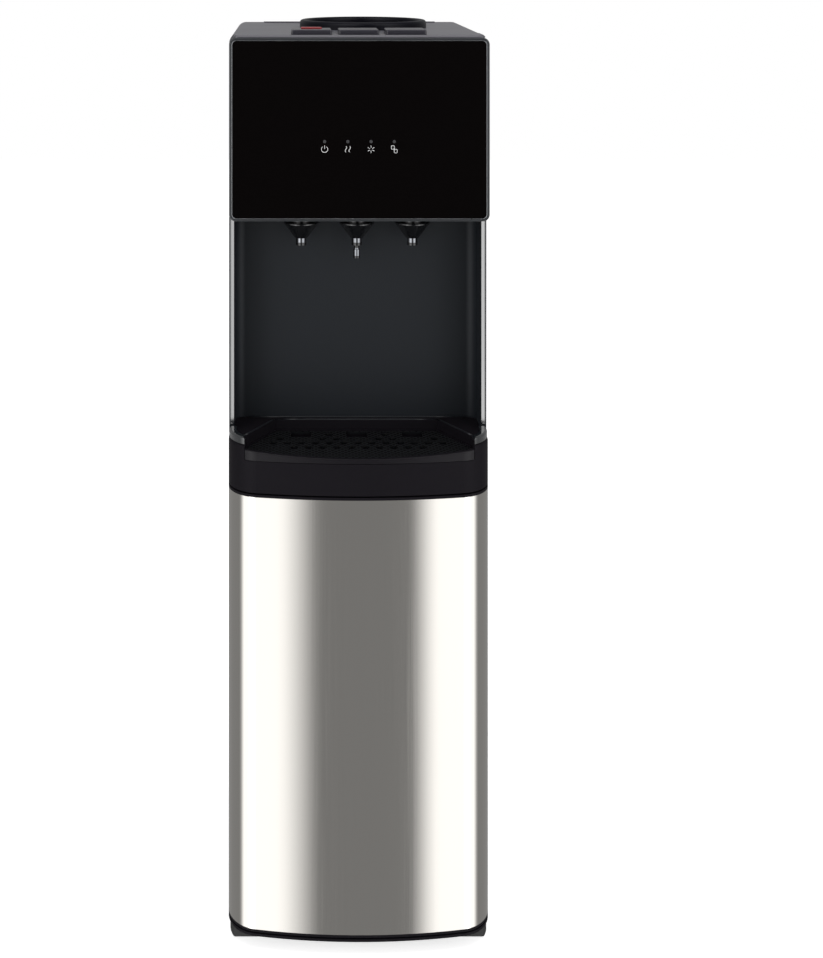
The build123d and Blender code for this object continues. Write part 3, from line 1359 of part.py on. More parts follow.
# Condenser: one serpentine tube with upright wires across its passes, clipped to the rear panel
condenser_y = rear_y - 2 * WIRE_RADIUS - WIRE_FIT - PIPE_RADIUS
condenser_z = panel_z + CONDENSER_RISE
condenser_top = condenser_z + (CONDENSER_PASSES - 1) * CONDENSER_PITCH
condenser_half = CONDENSER_WIDTH / 2
drier_x = condenser_half + DRIER_OUTSET
tail_z = condenser_z - CONDENSER_TAIL
serpentine = [(-condenser_half, condenser_y, tail_z)]
for number in range(CONDENSER_PASSES):
    pass_z = condenser_z + number * CONDENSER_PITCH
    start_x = -condenser_half if number % 2 == 0 else condenser_half
    serpentine.append((start_x, condenser_y, pass_z))
    serpentine.append((-start_x, condenser_y, pass_z))
serpentine[-1] = (drier_x, condenser_y, condenser_top)
serpentine.append((drier_x, condenser_y, tail_z))

with BuildPart() as condenser_tube:
    add(run_of_pipe(serpentine, PIPE_RADIUS, CONDENSER_PITCH * CONDENSER_BEND_SHARE))
save(condenser_tube, "condenser_tube")

wire_pitch = (CONDENSER_WIDTH - CONDENSER_PITCH) / (WIRE_COUNT - 1)
wire_y = condenser_y + PIPE_RADIUS + WIRE_FIT + WIRE_RADIUS
with BuildPart() as condenser_wires:
    with BuildSketch(Plane.XY.offset(condenser_z - WIRE_OVERHANG)):
        with Locations((0, wire_y)):
            with GridLocations(wire_pitch, 0, WIRE_COUNT, 1):
                Circle(WIRE_RADIUS)
    extrude(amount=condenser_top - condenser_z + 2 * WIRE_OVERHANG)
save(condenser_wires, "condenser_wires")

clip_rise = (CONDENSER_PASSES - 3) * CONDENSER_PITCH
with BuildPart() as condenser_clips:
    with BuildSketch(facing(condenser_y - PIPE_RADIUS - WIRE_FIT)):
        with Locations((0, (condenser_z + condenser_top) / 2)):
            with GridLocations(CLIP_SPREAD, clip_rise, 2, 2):
                RectangleRounded(CLIP_WIDTH, CLIP_HEIGHT, CLIP_HEIGHT / 4)
    extrude(amount=condenser_y - PIPE_RADIUS - WIRE_FIT - body_back)
save(condenser_clips, "condenser_clips")

# Refrigerant pipes: compressor to condenser, condenser to drier, and suction line to the tank
pipe_line = panel_z - PIPE_BEND
drier_top = pipe_line - 2 * PIPE_BEND
suction_x = feed_stub[0] + SUCTION_OUTSET
suction_y = seat_y + FOAM_SIZE / 2 - SHELF_MARGIN
pipe_routes = [
    [
        (COMPRESSOR_X - PIPE_SPREAD, bay_y, can_top),
        (COMPRESSOR_X - PIPE_SPREAD, bay_y, pipe_line),
        (-condenser_half, bay_y, pipe_line),
        (-condenser_half, condenser_y, pipe_line),
        (-condenser_half, condenser_y, tail_z),
    ],
    [
        (drier_x, condenser_y, tail_z),
        (drier_x, condenser_y, pipe_line),
        (drier_x, bay_y, pipe_line),
        (drier_x, bay_y, drier_top),
    ],
    [
        (COMPRESSOR_X + PIPE_SPREAD, bay_y, can_top),
        (COMPRESSOR_X + PIPE_SPREAD, bay_y, pipe_line),
        (suction_x, suction_y, pipe_line),
        (suction_x, suction_y, shelf_z),
    ],
]
with BuildPart() as refrigerant_pipes:
    for route in pipe_routes:
        add(run_of_pipe(route, PIPE_RADIUS, PIPE_BEND))
save(refrigerant_pipes, "refrigerant_pipes")

with BuildPart() as filter_drier:
    with BuildSketch(facing(bay_y, drier_x)):
        with BuildLine():
            Polyline(
                (0, drier_top),
                (PIPE_RADIUS, drier_top),
                (DRIER_RADIUS, drier_top - DRIER_CONE),
                (DRIER_RADIUS, drier_top - DRIER_LENGTH + DRIER_CONE),
                (PIPE_RADIUS, drier_top - DRIER_LENGTH),
                (0, drier_top - DRIER_LENGTH),
                close=True,
            )
        make_face()
    revolve(axis=Axis((drier_x, bay_y, 0), (0, 0, 1)))
save(filter_drier, "filter_drier")

# Rear switches: a bezel through the rear panel and two rockers on cross pins
pivot_y = body_back - BEZEL_SLEEVE / 3
rocker_face = body_back + ROCKER_PROUD
rocker_xs = [switch_x - SWITCH_PITCH / 2, switch_x + SWITCH_PITCH / 2]
with BuildPart() as switch_bezel:
    with BuildSketch(facing(body_back + BEZEL)):
        with Locations((switch_x, switch_z)):
            RectangleRounded(BEZEL_WIDTH, BEZEL_HEIGHT, BEZEL_CORNER)
    extrude(amount=BEZEL)
    with BuildSketch(facing(body_back)):
        with Locations((switch_x, switch_z)):
            Rectangle(BEZEL_SLEEVE_WIDTH, BEZEL_SLEEVE_HEIGHT)
    extrude(amount=BEZEL_SLEEVE)
    with BuildSketch(facing(body_back + BEZEL)):
        with Locations(*[(x, switch_z) for x in rocker_xs]):
            Rectangle(
                ROCKER_WIDTH + 2 * ROCKER_SIDE_FIT, 2 * (ROCKER_HALF_HEIGHT + ROCKER_SWING_FIT)
            )
    extrude(amount=BEZEL + BEZEL_SLEEVE, mode=Mode.SUBTRACT)
    with BuildSketch(Plane.YZ.offset(switch_x - BEZEL_SLEEVE_WIDTH / 2)):
        with Locations((pivot_y, switch_z)):
            Circle(ROCKER_PIN_RADIUS + RUNNING_FIT)
    extrude(amount=BEZEL_SLEEVE_WIDTH, mode=Mode.SUBTRACT)
save(switch_bezel, "switch_bezel")


def rocker(x):
    """Dished rocker with a pivot pin out of each cheek."""
    root_y = pivot_y - ROCKER_ROOT
    tall = ROCKER_HALF_HEIGHT
    with BuildPart() as switch:
        with BuildSketch(Plane.YZ.offset(x - ROCKER_WIDTH / 2)):
            with BuildLine():
                ThreePointArc(
                    (rocker_face, switch_z - tall),
                    (rocker_face - ROCKER_DISH, switch_z),
                    (rocker_face, switch_z + tall),
                )
                Polyline(
                    (rocker_face, switch_z + tall),
                    (body_back, switch_z + tall),
                    (root_y, switch_z + tall / 2),
                    (root_y, switch_z - tall / 2),
                    (body_back, switch_z - tall),
                    (rocker_face, switch_z - tall),
                )
            make_face()
        extrude(amount=ROCKER_WIDTH)
        with BuildSketch(Plane.YZ.offset(x - ROCKER_WIDTH / 2 - ROCKER_PIN)):
            with Locations((pivot_y, switch_z)):
                Circle(ROCKER_PIN_RADIUS)
        extrude(amount=ROCKER_WIDTH + 2 * ROCKER_PIN)
    return switch


save(rocker(rocker_xs[0]), "heating_rocker")
save(rocker(rocker_xs[1]), "cooling_rocker")


def turned_rearward(x, z, profile):
    """Solid turned about an axis that runs to the rear at x and z, from (radius, depth) points."""
    with BuildPart() as turned:
        with BuildSketch(Plane(origin=(x, 0, z), x_dir=(1, 0, 0), z_dir=(0, 0, 1))):
            with BuildLine():
                Polyline(*profile, close=True)
            make_face()
        revolve(axis=Axis((x, 0, z), (0, 1, 0)))
    return turned


# Drain outlet through the rear panel, its screw cap, and the gland for the mains lead
drain_out = body_back + DRAIN_OUT
drain_outlet = turned_rearward(
    drain_x,
    drain_z,
    [
        (DRAIN_BORE, drain_end),
        (DRAIN_RADIUS, drain_end),
        (DRAIN_RADIUS, body_back),
        (DRAIN_FLANGE_RADIUS, body_back),
        (DRAIN_FLANGE_RADIUS, body_back + DRAIN_FLANGE),
        (DRAIN_RADIUS, body_back + DRAIN_FLANGE),
        (DRAIN_RADIUS, drain_out),
        (DRAIN_BORE, drain_out),
    ],
)
save(drain_outlet, "drain_outlet")

cap_front = body_back + DRAIN_FLANGE + FIT
cap_back = drain_out + FIT + CAP_END
with BuildPart() as drain_cap:
    with BuildSketch(facing(cap_back)):
        with Locations((drain_x, drain_z)):
            Circle(CAP_RADIUS)
            with PolarLocations(CAP_RADIUS, CAP_GRIPS):
                Circle(CAP_GRIP_RADIUS, mode=Mode.SUBTRACT)
    extrude(amount=cap_back - cap_front)
    with BuildSketch(facing(drain_out + FIT)):
        with Locations((drain_x, drain_z)):
            Circle(DRAIN_RADIUS + FIT)
    extrude(amount=drain_out + FIT - cap_front, mode=Mode.SUBTRACT)
save(drain_cap, "drain_cap")

gland_nose = body_back + GLAND_FLANGE + GLAND_NOSE
cord_gland = turned_rearward(
    gland_x,
    gland_z,
    [
        (GLAND_BORE, body_back - GLAND_IN),
        (GLAND_RADIUS, body_back - GLAND_IN),
        (GLAND_RADIUS, body_back),
        (GLAND_FLANGE_RADIUS, body_back),
        (GLAND_FLANGE_RADIUS, body_back + GLAND_FLANGE),
        (GLAND_RADIUS, body_back + GLAND_FLANGE),
        (GLAND_NOSE_RADIUS, gland_nose),
        (GLAND_BORE, gland_nose),
    ],
)
save(cord_gland, "cord_gland")
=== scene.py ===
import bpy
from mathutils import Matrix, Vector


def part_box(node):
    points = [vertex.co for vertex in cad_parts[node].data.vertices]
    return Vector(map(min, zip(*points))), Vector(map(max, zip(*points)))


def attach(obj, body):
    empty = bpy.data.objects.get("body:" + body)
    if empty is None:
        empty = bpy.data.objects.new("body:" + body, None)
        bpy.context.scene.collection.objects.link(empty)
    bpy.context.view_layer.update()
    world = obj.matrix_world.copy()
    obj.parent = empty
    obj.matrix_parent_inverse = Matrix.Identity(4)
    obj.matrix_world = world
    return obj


bl_info = {
    "name": "Water dispenser finishes",
    "version": (1, 0, 0),
    "blender": (4, 5, 0),
    "location": "3D View > Sidebar > Dispenser",
    "description": "Gives the packed water dispenser its real finishes, printed marks, trims and a studio",
    "category": "Object",
}

import bpy
import numpy as np

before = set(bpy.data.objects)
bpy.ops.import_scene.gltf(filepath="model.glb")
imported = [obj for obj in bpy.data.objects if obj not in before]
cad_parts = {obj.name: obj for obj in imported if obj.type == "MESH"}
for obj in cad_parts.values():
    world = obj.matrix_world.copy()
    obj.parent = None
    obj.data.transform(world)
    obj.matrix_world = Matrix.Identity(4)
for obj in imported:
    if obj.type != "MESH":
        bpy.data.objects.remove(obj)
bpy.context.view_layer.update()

MM = 0.001

# Tray recess in the deck, as in the part's source
RECESS_GAP = 1.2 * MM
RECESS_SLANT = 35.0 * MM
RECESS_KNEE = 58.0 * MM
RECESS_TAIL = 13.0 * MM
NICHE_WALL = 2.5 * MM
NICHE_CORNER = 20.0 * MM
# Front panel's corners, and how far its bead stands back, as a share of the bead's radius
PANEL_CORNER = 5.0 * MM
BEAD_SETBACK = 0.4
# Plating above the lower end of a spout, and above that of the thin middle one
SPOUT_PLATING = (3.6 * MM, 9.2 * MM)
THIN_SPOUT_PLATING = (3.0 * MM, 12.5 * MM)
# Rocker's dish and its printed marks
ROCKER_DISH = 1.6 * MM
ROCKER_STROKE = 0.6 * MM
ROCKER_RING = 2.2 * MM
# The room that gloss sees: degrees from straight ahead, and level
WALL_STOPS = (
    (-180.0, 0.06), (-83.0, 0.056), (-76.0, 0.1), (-64.0, 0.325), (-46.0, 0.325), (-42.0, 0.75),
    (-32.0, 0.75), (-28.0, 0.325), (34.0, 0.325), (38.0, 0.65), (47.0, 0.65), (51.0, 0.325),
    (64.0, 0.325), (76.0, 0.1), (83.0, 0.056), (180.0, 0.06),
)
BESIDE_STOPS = ((-14.6, 1.0), (-6.6, 0.0), (14.2, 0.0), (19.4, 1.0))
# Ray height at which the ground ahead ends and the room above it begins
HORIZON = (-0.34, -0.2)
# Softboxes: place, point that they face, width and height in metres
SIDE_BOX = ((1.75, -1.75, 1.0), (0.0, 0.0, 0.7), 1.3, 2.6)
OVERHEAD_BOX = ((0.0, -0.2, 2.6), (0.0, 0.0, 0.0), 2.0, 2.0)
FLOOR_HALF = 6.0


def linear(code):
    """Linear RGB of an sRGB hex colour: a straight toe below 0.04045 and a 2.4 power above it."""
    srgb = np.array([int(code[i : i + 2], 16) for i in (1, 3, 5)]) / 255.0
    return tuple(np.where(srgb <= 0.04045, srgb / 12.92, ((srgb + 0.055) / 1.055) ** 2.4).tolist())


def shade(colour):
    """Colour socket value: the three linear parts and full alpha."""
    return (*colour, 1.0)


def colour_setting(name, description, code):
    """Colour property whose default is an sRGB hex colour."""
    return bpy.props.FloatVectorProperty(name=name, description=description, subtype="COLOR", size=3,
                                         min=0.0, max=1.0, default=linear(code))


class FinishColours(bpy.types.PropertyGroup):
    """Colours of the visible finishes."""

    moulding: colour_setting("Mouldings", "Satin ABS of the niche, tap plate and fascia", "#191c20")
    apron: colour_setting("Apron", "Dull ABS of the apron, base and drip tray", "#19171b")
    panel: colour_setting("Front panel", "Polished acrylic of the head's front", "#0a0808")
    cover: colour_setting("Top cover", "Satin ABS of the top cover", "#57565c")
    steel: colour_setting("Door steel", "Brushed stainless steel of the door", "#cdcac5")
    side: colour_setting("Side panels", "Powder coat of the side and rear panels", "#202327")
    lock: colour_setting("Child lock", "Red plastic of the child lock slider", "#94181d")
    print_ink: colour_setting("Printed marks", "Ink of the marks under the indicators", "#ffffff")


class TrimSizes(bpy.types.PropertyGroup):
    """Sizes of the small trims and printed marks."""

    bead: bpy.props.FloatProperty(
        name="Panel bead", description="Radius of the bead around the front panel", unit="LENGTH",
        default=0.5 * MM, min=0.2 * MM, max=2.0 * MM,
    )
    deck_bead: bpy.props.FloatProperty(
        name="Deck bead", description="Radius of the rounded edge around the tray recess", unit="LENGTH",
        default=1.0 * MM, min=0.3 * MM, max=2.0 * MM,
    )
    mark: bpy.props.FloatProperty(
        name="Mark height", description="Height of a mark under an indicator", unit="LENGTH",
        default=8.8 * MM, min=3.0 * MM, max=12.0 * MM,
    )
    mark_drop: bpy.props.FloatProperty(
        name="Mark drop", description="Distance from an indicator down to its mark", unit="LENGTH",
        default=9.0 * MM, min=6.0 * MM, max=20.0 * MM,
    )
    stroke: bpy.props.FloatProperty(
        name="Stroke", description="Width of a printed line", unit="LENGTH",
        default=0.5 * MM, min=0.2 * MM, max=1.5 * MM,
    )
    ink: bpy.props.FloatProperty(
        name="Ink", description="Thickness of the printed ink", unit="LENGTH",
        default=0.05 * MM, min=0.01 * MM, max=0.2 * MM,
    )


class StudioSettings(bpy.types.PropertyGroup):
    """Camera and light of the studio."""

    lens: bpy.props.FloatProperty(
        name="Lens", description="Focal length on a 36 mm frame", unit="CAMERA", default=52.7,
    )
    camera_x: bpy.props.FloatProperty(
        name="Camera side", description="Camera's place to the side", unit="LENGTH", default=-0.08,
    )
    camera_y: bpy.props.FloatProperty(
        name="Camera depth", description="Camera's place in front", unit="LENGTH", default=-1.81,
    )
    camera_z: bpy.props.FloatProperty(
        name="Camera height", description="Camera's height above the floor", unit="LENGTH", default=1.17,
    )
    shift_x: bpy.props.FloatProperty(
        name="Shift x", description="Sideways shift of the frame, as in the photograph", default=0.1254,
    )
    shift_y: bpy.props.FloatProperty(
        name="Shift y", description="Downward shift of the frame, as in the photograph", default=-0.552,
    )
    softbox: bpy.props.FloatProperty(
        name="Softboxes", description="Power of each side softbox in watts", default=17.0, min=0.0,
    )
    overhead: bpy.props.FloatProperty(
        name="Overhead", description="Power of the overhead softbox in watts", default=26.0, min=0.0,
    )
    fill: bpy.props.FloatProperty(
        name="Fill", description="Strength of the even light from all round", default=0.42, min=0.0,
    )
    band: bpy.props.FloatProperty(
        name="Softbox gloss", description="Strength of the side softboxes as gloss sees them",
        default=5.5, min=0.0,
    )
    ground: bpy.props.FloatProperty(
        name="Ground ahead", description="Strength of the ground in front as gloss sees it",
        default=0.28, min=0.0,
    )
    ahead: bpy.props.FloatProperty(
        name="Room ahead", description="Strength of the room in front as gloss sees it",
        default=0.03, min=0.0,
    )


# Meshes


def grid_faces(shape, first, wrap_rows, wrap_columns):
    """Faces of one grid whose points are numbered from first: each cell of rows and columns is one quad.

    A wrapped direction joins its last line to its first. Where only the columns wrap, each end row is
    closed by one flat face.
    """
    index = first + np.arange(shape[0] * shape[1]).reshape(shape)
    down = np.vstack([index, index[:1]]) if wrap_rows else index
    cells = np.hstack([down, down[:, :1]]) if wrap_columns else down
    quads = np.stack([cells[:-1, :-1], cells[:-1, 1:], cells[1:, 1:], cells[1:, :-1]], axis=-1)
    faces = quads.reshape(-1, 4).tolist()
    if wrap_columns and not wrap_rows:
        faces += [index[0, ::-1].tolist(), index[-1].tolist()]
    return faces


def grid_mesh(name, grids, wrap_rows=False, wrap_columns=True, smooth=False):
    """One mesh from grids of points, arrays (rows, columns, 3) whose points are numbered on in turn.

    wrap_rows is one answer for all the grids, or one for each.
    """
    firsts = np.cumsum([0] + [grid.shape[0] * grid.shape[1] for grid in grids])
    faces = []
    for grid, first, wrap in zip(grids, firsts, np.broadcast_to(wrap_rows, len(grids))):
        faces += grid_faces(grid.shape[:2], first, wrap, wrap_columns)
    mesh = bpy.data.meshes.new(name)
    mesh.from_pydata(np.concatenate([grid.reshape(-1, 3) for grid in grids]).tolist(), [], faces)
    mesh.polygons.foreach_set("use_smooth", np.full(len(mesh.polygons), smooth))
    mesh.update()
    return mesh


def place(name, mesh, material, body):
    """New piece at the origin from a mesh, with its finish, riding on a body."""
    piece = bpy.data.objects.new(name, mesh)
    bpy.context.scene.collection.objects.link(piece)
    mesh.materials.append(material)
    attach(piece, body)
    return piece


def stroke_on(path, width, normal_lift, to_space, closed=False):
    """Printed line: a flat box section carried along a plane path.

    At each path point the section's corners are the point plus or minus half the width times the path's
    left-hand normal, once on the surface and once lifted by the ink's thickness. A closed path takes its
    direction from the points on both sides all the way round. to_space turns plane points (u, v) and a
    lift into space.
    """
    along = np.roll(path, -1, axis=0) - np.roll(path, 1, axis=0) if closed else np.gradient(path, axis=0)
    along /= np.linalg.norm(along, axis=1, keepdims=True)
    left = np.stack([-along[:, 1], along[:, 0]], axis=1) * width / 2
    corners = [to_space(path - left, 0.0), to_space(path + left, 0.0),
               to_space(path + left, normal_lift), to_space(path - left, normal_lift)]
    return np.stack(corners, axis=1)


def round_bead(path, radius, level, count=10):
    """Level bead: a circle of the radius carried along a plane path at a level.

    At each path point the circle is the point plus the radius times the cosine of a turn along the path's
    left-hand normal, and the level plus the radius times the sine of that turn.
    """
    along = np.gradient(path, axis=0)
    along /= np.linalg.norm(along, axis=1, keepdims=True)
    left = np.stack([-along[:, 1], along[:, 0]], axis=1)
    turn = np.linspace(0.0, 2.0 * np.pi, count, endpoint=False)
    plan = path[:, None, :] + radius * np.cos(turn)[None, :, None] * left[:, None, :]
    height = np.broadcast_to(level + radius * np.sin(turn), plan.shape[:2])
    return np.concatenate([plan, height[..., None]], axis=-1)


def arc_path(radius, start, end, count=40, centre=(0.0, 0.0)):
    """Circular arc: the centre plus the radius times cosine and sine of an angle that runs evenly."""
    angle = np.radians(np.linspace(start, end, count))
    return np.stack([centre[0] + radius * np.cos(angle), centre[1] + radius * np.sin(angle)], axis=1)


def line_path(start, end, count=8):
    """Straight line: points that divide it evenly."""
    share = np.linspace(0.0, 1.0, count)[:, None]
    return np.array(start) * (1.0 - share) + np.array(end) * share


def rounded_frame(width, height, radius, centre, per_corner=16):
    """Closed rounded rectangle: four quarter circles in turn, each on its own corner's centre."""
    angle = np.radians(np.linspace(0.0, 90.0, per_corner))
    turn = np.radians(np.array([0.0, 90.0, 180.0, 270.0]))[:, None]
    signs = np.array([[1, 1], [-1, 1], [-1, -1], [1, -1]])[:, None, :]
    middles = signs * np.array([width / 2 - radius, height / 2 - radius]) + np.array(centre)
    round_part = radius * np.stack([np.cos(angle + turn), np.sin(angle + turn)], axis=-1)
    return (middles + round_part).reshape(-1, 2)


# Finishes


def add_node(tree, kind, inputs=None, **settings):
    """Add one shader node: settings are its own values, inputs are socket values or links."""
    node = tree.nodes.new(kind)
    for name, value in settings.items():
        setattr(node, name, value)
    for socket, value in (inputs or {}).items():
        if isinstance(value, bpy.types.NodeSocket):
            tree.links.new(value, node.inputs[socket])
        else:
            node.inputs[socket].default_value = value
    return node


def new_finish(name):
    """Empty node material, its tree and its object coordinates."""
    material = bpy.data.materials.new(name)
    material.use_nodes = True
    tree = material.node_tree
    tree.nodes.clear()
    coordinates = add_node(tree, "ShaderNodeTexCoord").outputs["Object"]
    return material, tree, coordinates


def close_finish(tree, shader):
    """Link the finished shader to the material's surface."""
    add_node(tree, "ShaderNodeOutputMaterial", {"Surface": shader.outputs[0]})


def moulded_plastic(name, colour, roughness, grain_mm, grain_depth_mm, spread=0.05, specular=0.5):
    """Injection moulded plastic: a fine spark-eroded grain, with slow drifts of gloss and colour."""
    material, tree, place_on = new_finish(name)
    grain = add_node(tree, "ShaderNodeTexNoise", {"Vector": place_on, "Scale": 1.0 / (grain_mm * MM),
                                                  "Detail": 2.0})
    drift = add_node(tree, "ShaderNodeTexNoise", {"Vector": place_on, "Scale": 1.0 / (90.0 * MM),
                                                  "Detail": 3.0})
    gloss = add_node(tree, "ShaderNodeMapRange", {"Value": drift.outputs["Fac"], "To Min": roughness - spread,
                                                  "To Max": roughness + spread})
    dark = tuple(part * 0.86 for part in colour)
    tint = add_node(tree, "ShaderNodeMix", {"Factor": drift.outputs["Fac"], "A": shade(dark),
                                            "B": shade(colour)}, data_type="RGBA")
    relief = add_node(tree, "ShaderNodeBump", {"Height": grain.outputs["Fac"], "Strength": 0.35,
                                               "Distance": grain_depth_mm * MM})
    shader = add_node(tree, "ShaderNodeBsdfPrincipled", {
        "Base Color": tint.outputs["Result"], "Roughness": gloss.outputs["Result"],
        "Normal": relief.outputs["Normal"], "IOR": 1.53, "Specular IOR Level": specular})
    close_finish(tree, shader)
    return material


def polished_lip_plastic(name, colour, lip_y, edge_x):
    """Grained plastic with a polished lip: in front of a depth the surface is smooth and clear coated.

    The polish fades out over the last 2 mm before the outer edge. The grain keeps the niche flat and dull,
    and the lip draws the softboxes out as two bright lines.
    """
    material, tree, place_on = new_finish(name)
    where = add_node(tree, "ShaderNodeSeparateXYZ", {"Vector": place_on}).outputs
    front = add_node(tree, "ShaderNodeMath", {0: where["Y"], 1: lip_y}, operation="LESS_THAN")
    outward = add_node(tree, "ShaderNodeMath", {0: where["X"]}, operation="ABSOLUTE")
    inside = add_node(tree, "ShaderNodeMapRange", {
        "Value": outward.outputs["Value"], "From Min": edge_x - 1.0 * MM, "From Max": edge_x - 3.0 * MM})
    lip = add_node(tree, "ShaderNodeMath", {0: front.outputs["Value"], 1: inside.outputs["Result"]},
                   operation="MULTIPLY").outputs["Value"]
    grain = add_node(tree, "ShaderNodeTexNoise", {"Vector": place_on, "Scale": 1.0 / (1.2 * MM),
                                                  "Detail": 2.0})
    drift = add_node(tree, "ShaderNodeTexNoise", {"Vector": place_on, "Scale": 1.0 / (120.0 * MM),
                                                  "Detail": 2.0})
    dark = tuple(part * 0.88 for part in colour)
    tint = add_node(tree, "ShaderNodeMix", {"Factor": drift.outputs["Fac"], "A": shade(dark),
                                            "B": shade(colour)}, data_type="RGBA")
    gloss = add_node(tree, "ShaderNodeMapRange", {"Value": lip, "To Min": 0.55, "To Max": 0.16})
    grained = add_node(tree, "ShaderNodeMapRange", {"Value": lip, "To Min": 0.35, "To Max": 0.02})
    relief = add_node(tree, "ShaderNodeBump", {"Height": grain.outputs["Fac"], "Distance": 0.02 * MM,
                                               "Strength": grained.outputs["Result"]})
    shader = add_node(tree, "ShaderNodeBsdfPrincipled", {
        "Base Color": tint.outputs["Result"], "Roughness": gloss.outputs["Result"],
        "Specular IOR Level": 0.2, "Normal": relief.outputs["Normal"],
        "Coat Weight": lip, "Coat Roughness": 0.1, "Coat IOR": 2.0})
    close_finish(tree, shader)
    return material


def perforated_plastic(name, colour, pitch_mm):
    """Perforated plastic: a diagonal field of round pits at a pitch, sunk a little, with painted shade that
    makes each pit near-black inside.
    """
    material, tree, place_on = new_finish(name)
    field = add_node(tree, "ShaderNodeMapping", {"Vector": place_on, "Rotation": (0.0, 0.0, np.pi / 4)})
    cells = add_node(tree, "ShaderNodeTexVoronoi", {"Vector": field.outputs["Vector"],
                                                    "Scale": 1.0 / (pitch_mm * MM), "Randomness": 0.0},
                     voronoi_dimensions="2D")
    land = add_node(tree, "ShaderNodeMapRange", {"Value": cells.outputs["Distance"], "From Min": 0.26,
                                                 "From Max": 0.36})
    # Painted shade: the pits are near-black, where the shade inside a hole would fall
    tint = add_node(tree, "ShaderNodeMix", {"Factor": land.outputs["Result"], "A": shade(linear("#020202")),
                                            "B": shade(colour)}, data_type="RGBA")
    gloss = add_node(tree, "ShaderNodeMapRange", {"Value": land.outputs["Result"], "To Min": 0.8,
                                                  "To Max": 0.34})
    relief = add_node(tree, "ShaderNodeBump", {"Height": land.outputs["Result"], "Strength": 0.6,
                                               "Distance": 0.4 * MM})
    shader = add_node(tree, "ShaderNodeBsdfPrincipled", {
        "Base Color": tint.outputs["Result"], "Roughness": gloss.outputs["Result"],
        "Normal": relief.outputs["Normal"], "IOR": 1.53, "Specular IOR Level": 0.2})
    close_finish(tree, shader)
    return material


def polished_acrylic(name, colour):
    """Polished black acrylic: mirror gloss with the faint roughness left by wiping."""
    material, tree, place_on = new_finish(name)
    wipe = add_node(tree, "ShaderNodeMapping", {"Vector": place_on, "Rotation": (0.0, 0.5, 0.0),
                                                "Scale": (14.0, 14.0, 60.0)})
    haze = add_node(tree, "ShaderNodeTexNoise", {"Vector": wipe.outputs["Vector"], "Scale": 1.0,
                                                 "Detail": 4.0})
    gloss = add_node(tree, "ShaderNodeMapRange", {"Value": haze.outputs["Fac"], "To Min": 0.035,
                                                  "To Max": 0.075})
    shader = add_node(tree, "ShaderNodeBsdfPrincipled", {
        "Base Color": shade(colour), "Roughness": gloss.outputs["Result"], "IOR": 1.49,
        "Specular IOR Level": 0.14})
    close_finish(tree, shader)
    return material


def brushed_steel(name, colour, roughness, line_mm, run_mm, depth_mm, along="Z"):
    """Brushed stainless steel: long fine scratches one way, which draw highlights out into bands.

    Real scratches are a few hundredths of a millimetre apart, too fine to show, so they are drawn coarser.
    """
    material, tree, place_on = new_finish(name)
    fine = 1.0 / (line_mm * MM)
    slow = 1.0 / (run_mm * MM)
    scale = {"Z": (fine, fine, slow), "X": (slow, slow, fine)}[along]
    drawn = add_node(tree, "ShaderNodeMapping", {"Vector": place_on, "Scale": scale})
    lines = add_node(tree, "ShaderNodeTexNoise", {"Vector": drawn.outputs["Vector"], "Scale": 1.0,
                                                  "Detail": 4.0, "Roughness": 0.6})
    gloss = add_node(tree, "ShaderNodeMapRange", {"Value": lines.outputs["Fac"], "From Min": 0.3,
                                                  "From Max": 0.7, "To Min": roughness - 0.03,
                                                  "To Max": roughness + 0.03})
    dark = tuple(part * 0.95 for part in colour)
    tint = add_node(tree, "ShaderNodeMix", {"Factor": lines.outputs["Fac"], "A": shade(dark),
                                            "B": shade(colour)}, data_type="RGBA")
    relief = add_node(tree, "ShaderNodeBump", {"Height": lines.outputs["Fac"], "Strength": 0.25,
                                               "Distance": depth_mm * MM})
    shader = add_node(tree, "ShaderNodeBsdfPrincipled", {
        "Base Color": tint.outputs["Result"], "Metallic": 1.0, "Roughness": gloss.outputs["Result"],
        "Normal": relief.outputs["Normal"]})
    close_finish(tree, shader)
    return material


def coated_sheet(name, colour, roughness, peel_mm):
    """Powder coated sheet: an even satin film with the soft waviness called orange peel."""
    material, tree, place_on = new_finish(name)
    peel = add_node(tree, "ShaderNodeTexNoise", {"Vector": place_on, "Scale": 1.0 / (peel_mm * MM),
                                                 "Detail": 1.0})
    drift = add_node(tree, "ShaderNodeTexNoise", {"Vector": place_on, "Scale": 1.0 / (140.0 * MM),
                                                  "Detail": 3.0})
    gloss = add_node(tree, "ShaderNodeMapRange", {"Value": drift.outputs["Fac"], "To Min": roughness - 0.05,
                                                  "To Max": roughness + 0.05})
    relief = add_node(tree, "ShaderNodeBump", {"Height": peel.outputs["Fac"], "Strength": 0.2,
                                               "Distance": 0.05 * MM})
    shader = add_node(tree, "ShaderNodeBsdfPrincipled", {
        "Base Color": shade(colour), "Roughness": gloss.outputs["Result"],
        "Normal": relief.outputs["Normal"], "IOR": 1.5, "Specular IOR Level": 0.15})
    close_finish(tree, shader)
    return material


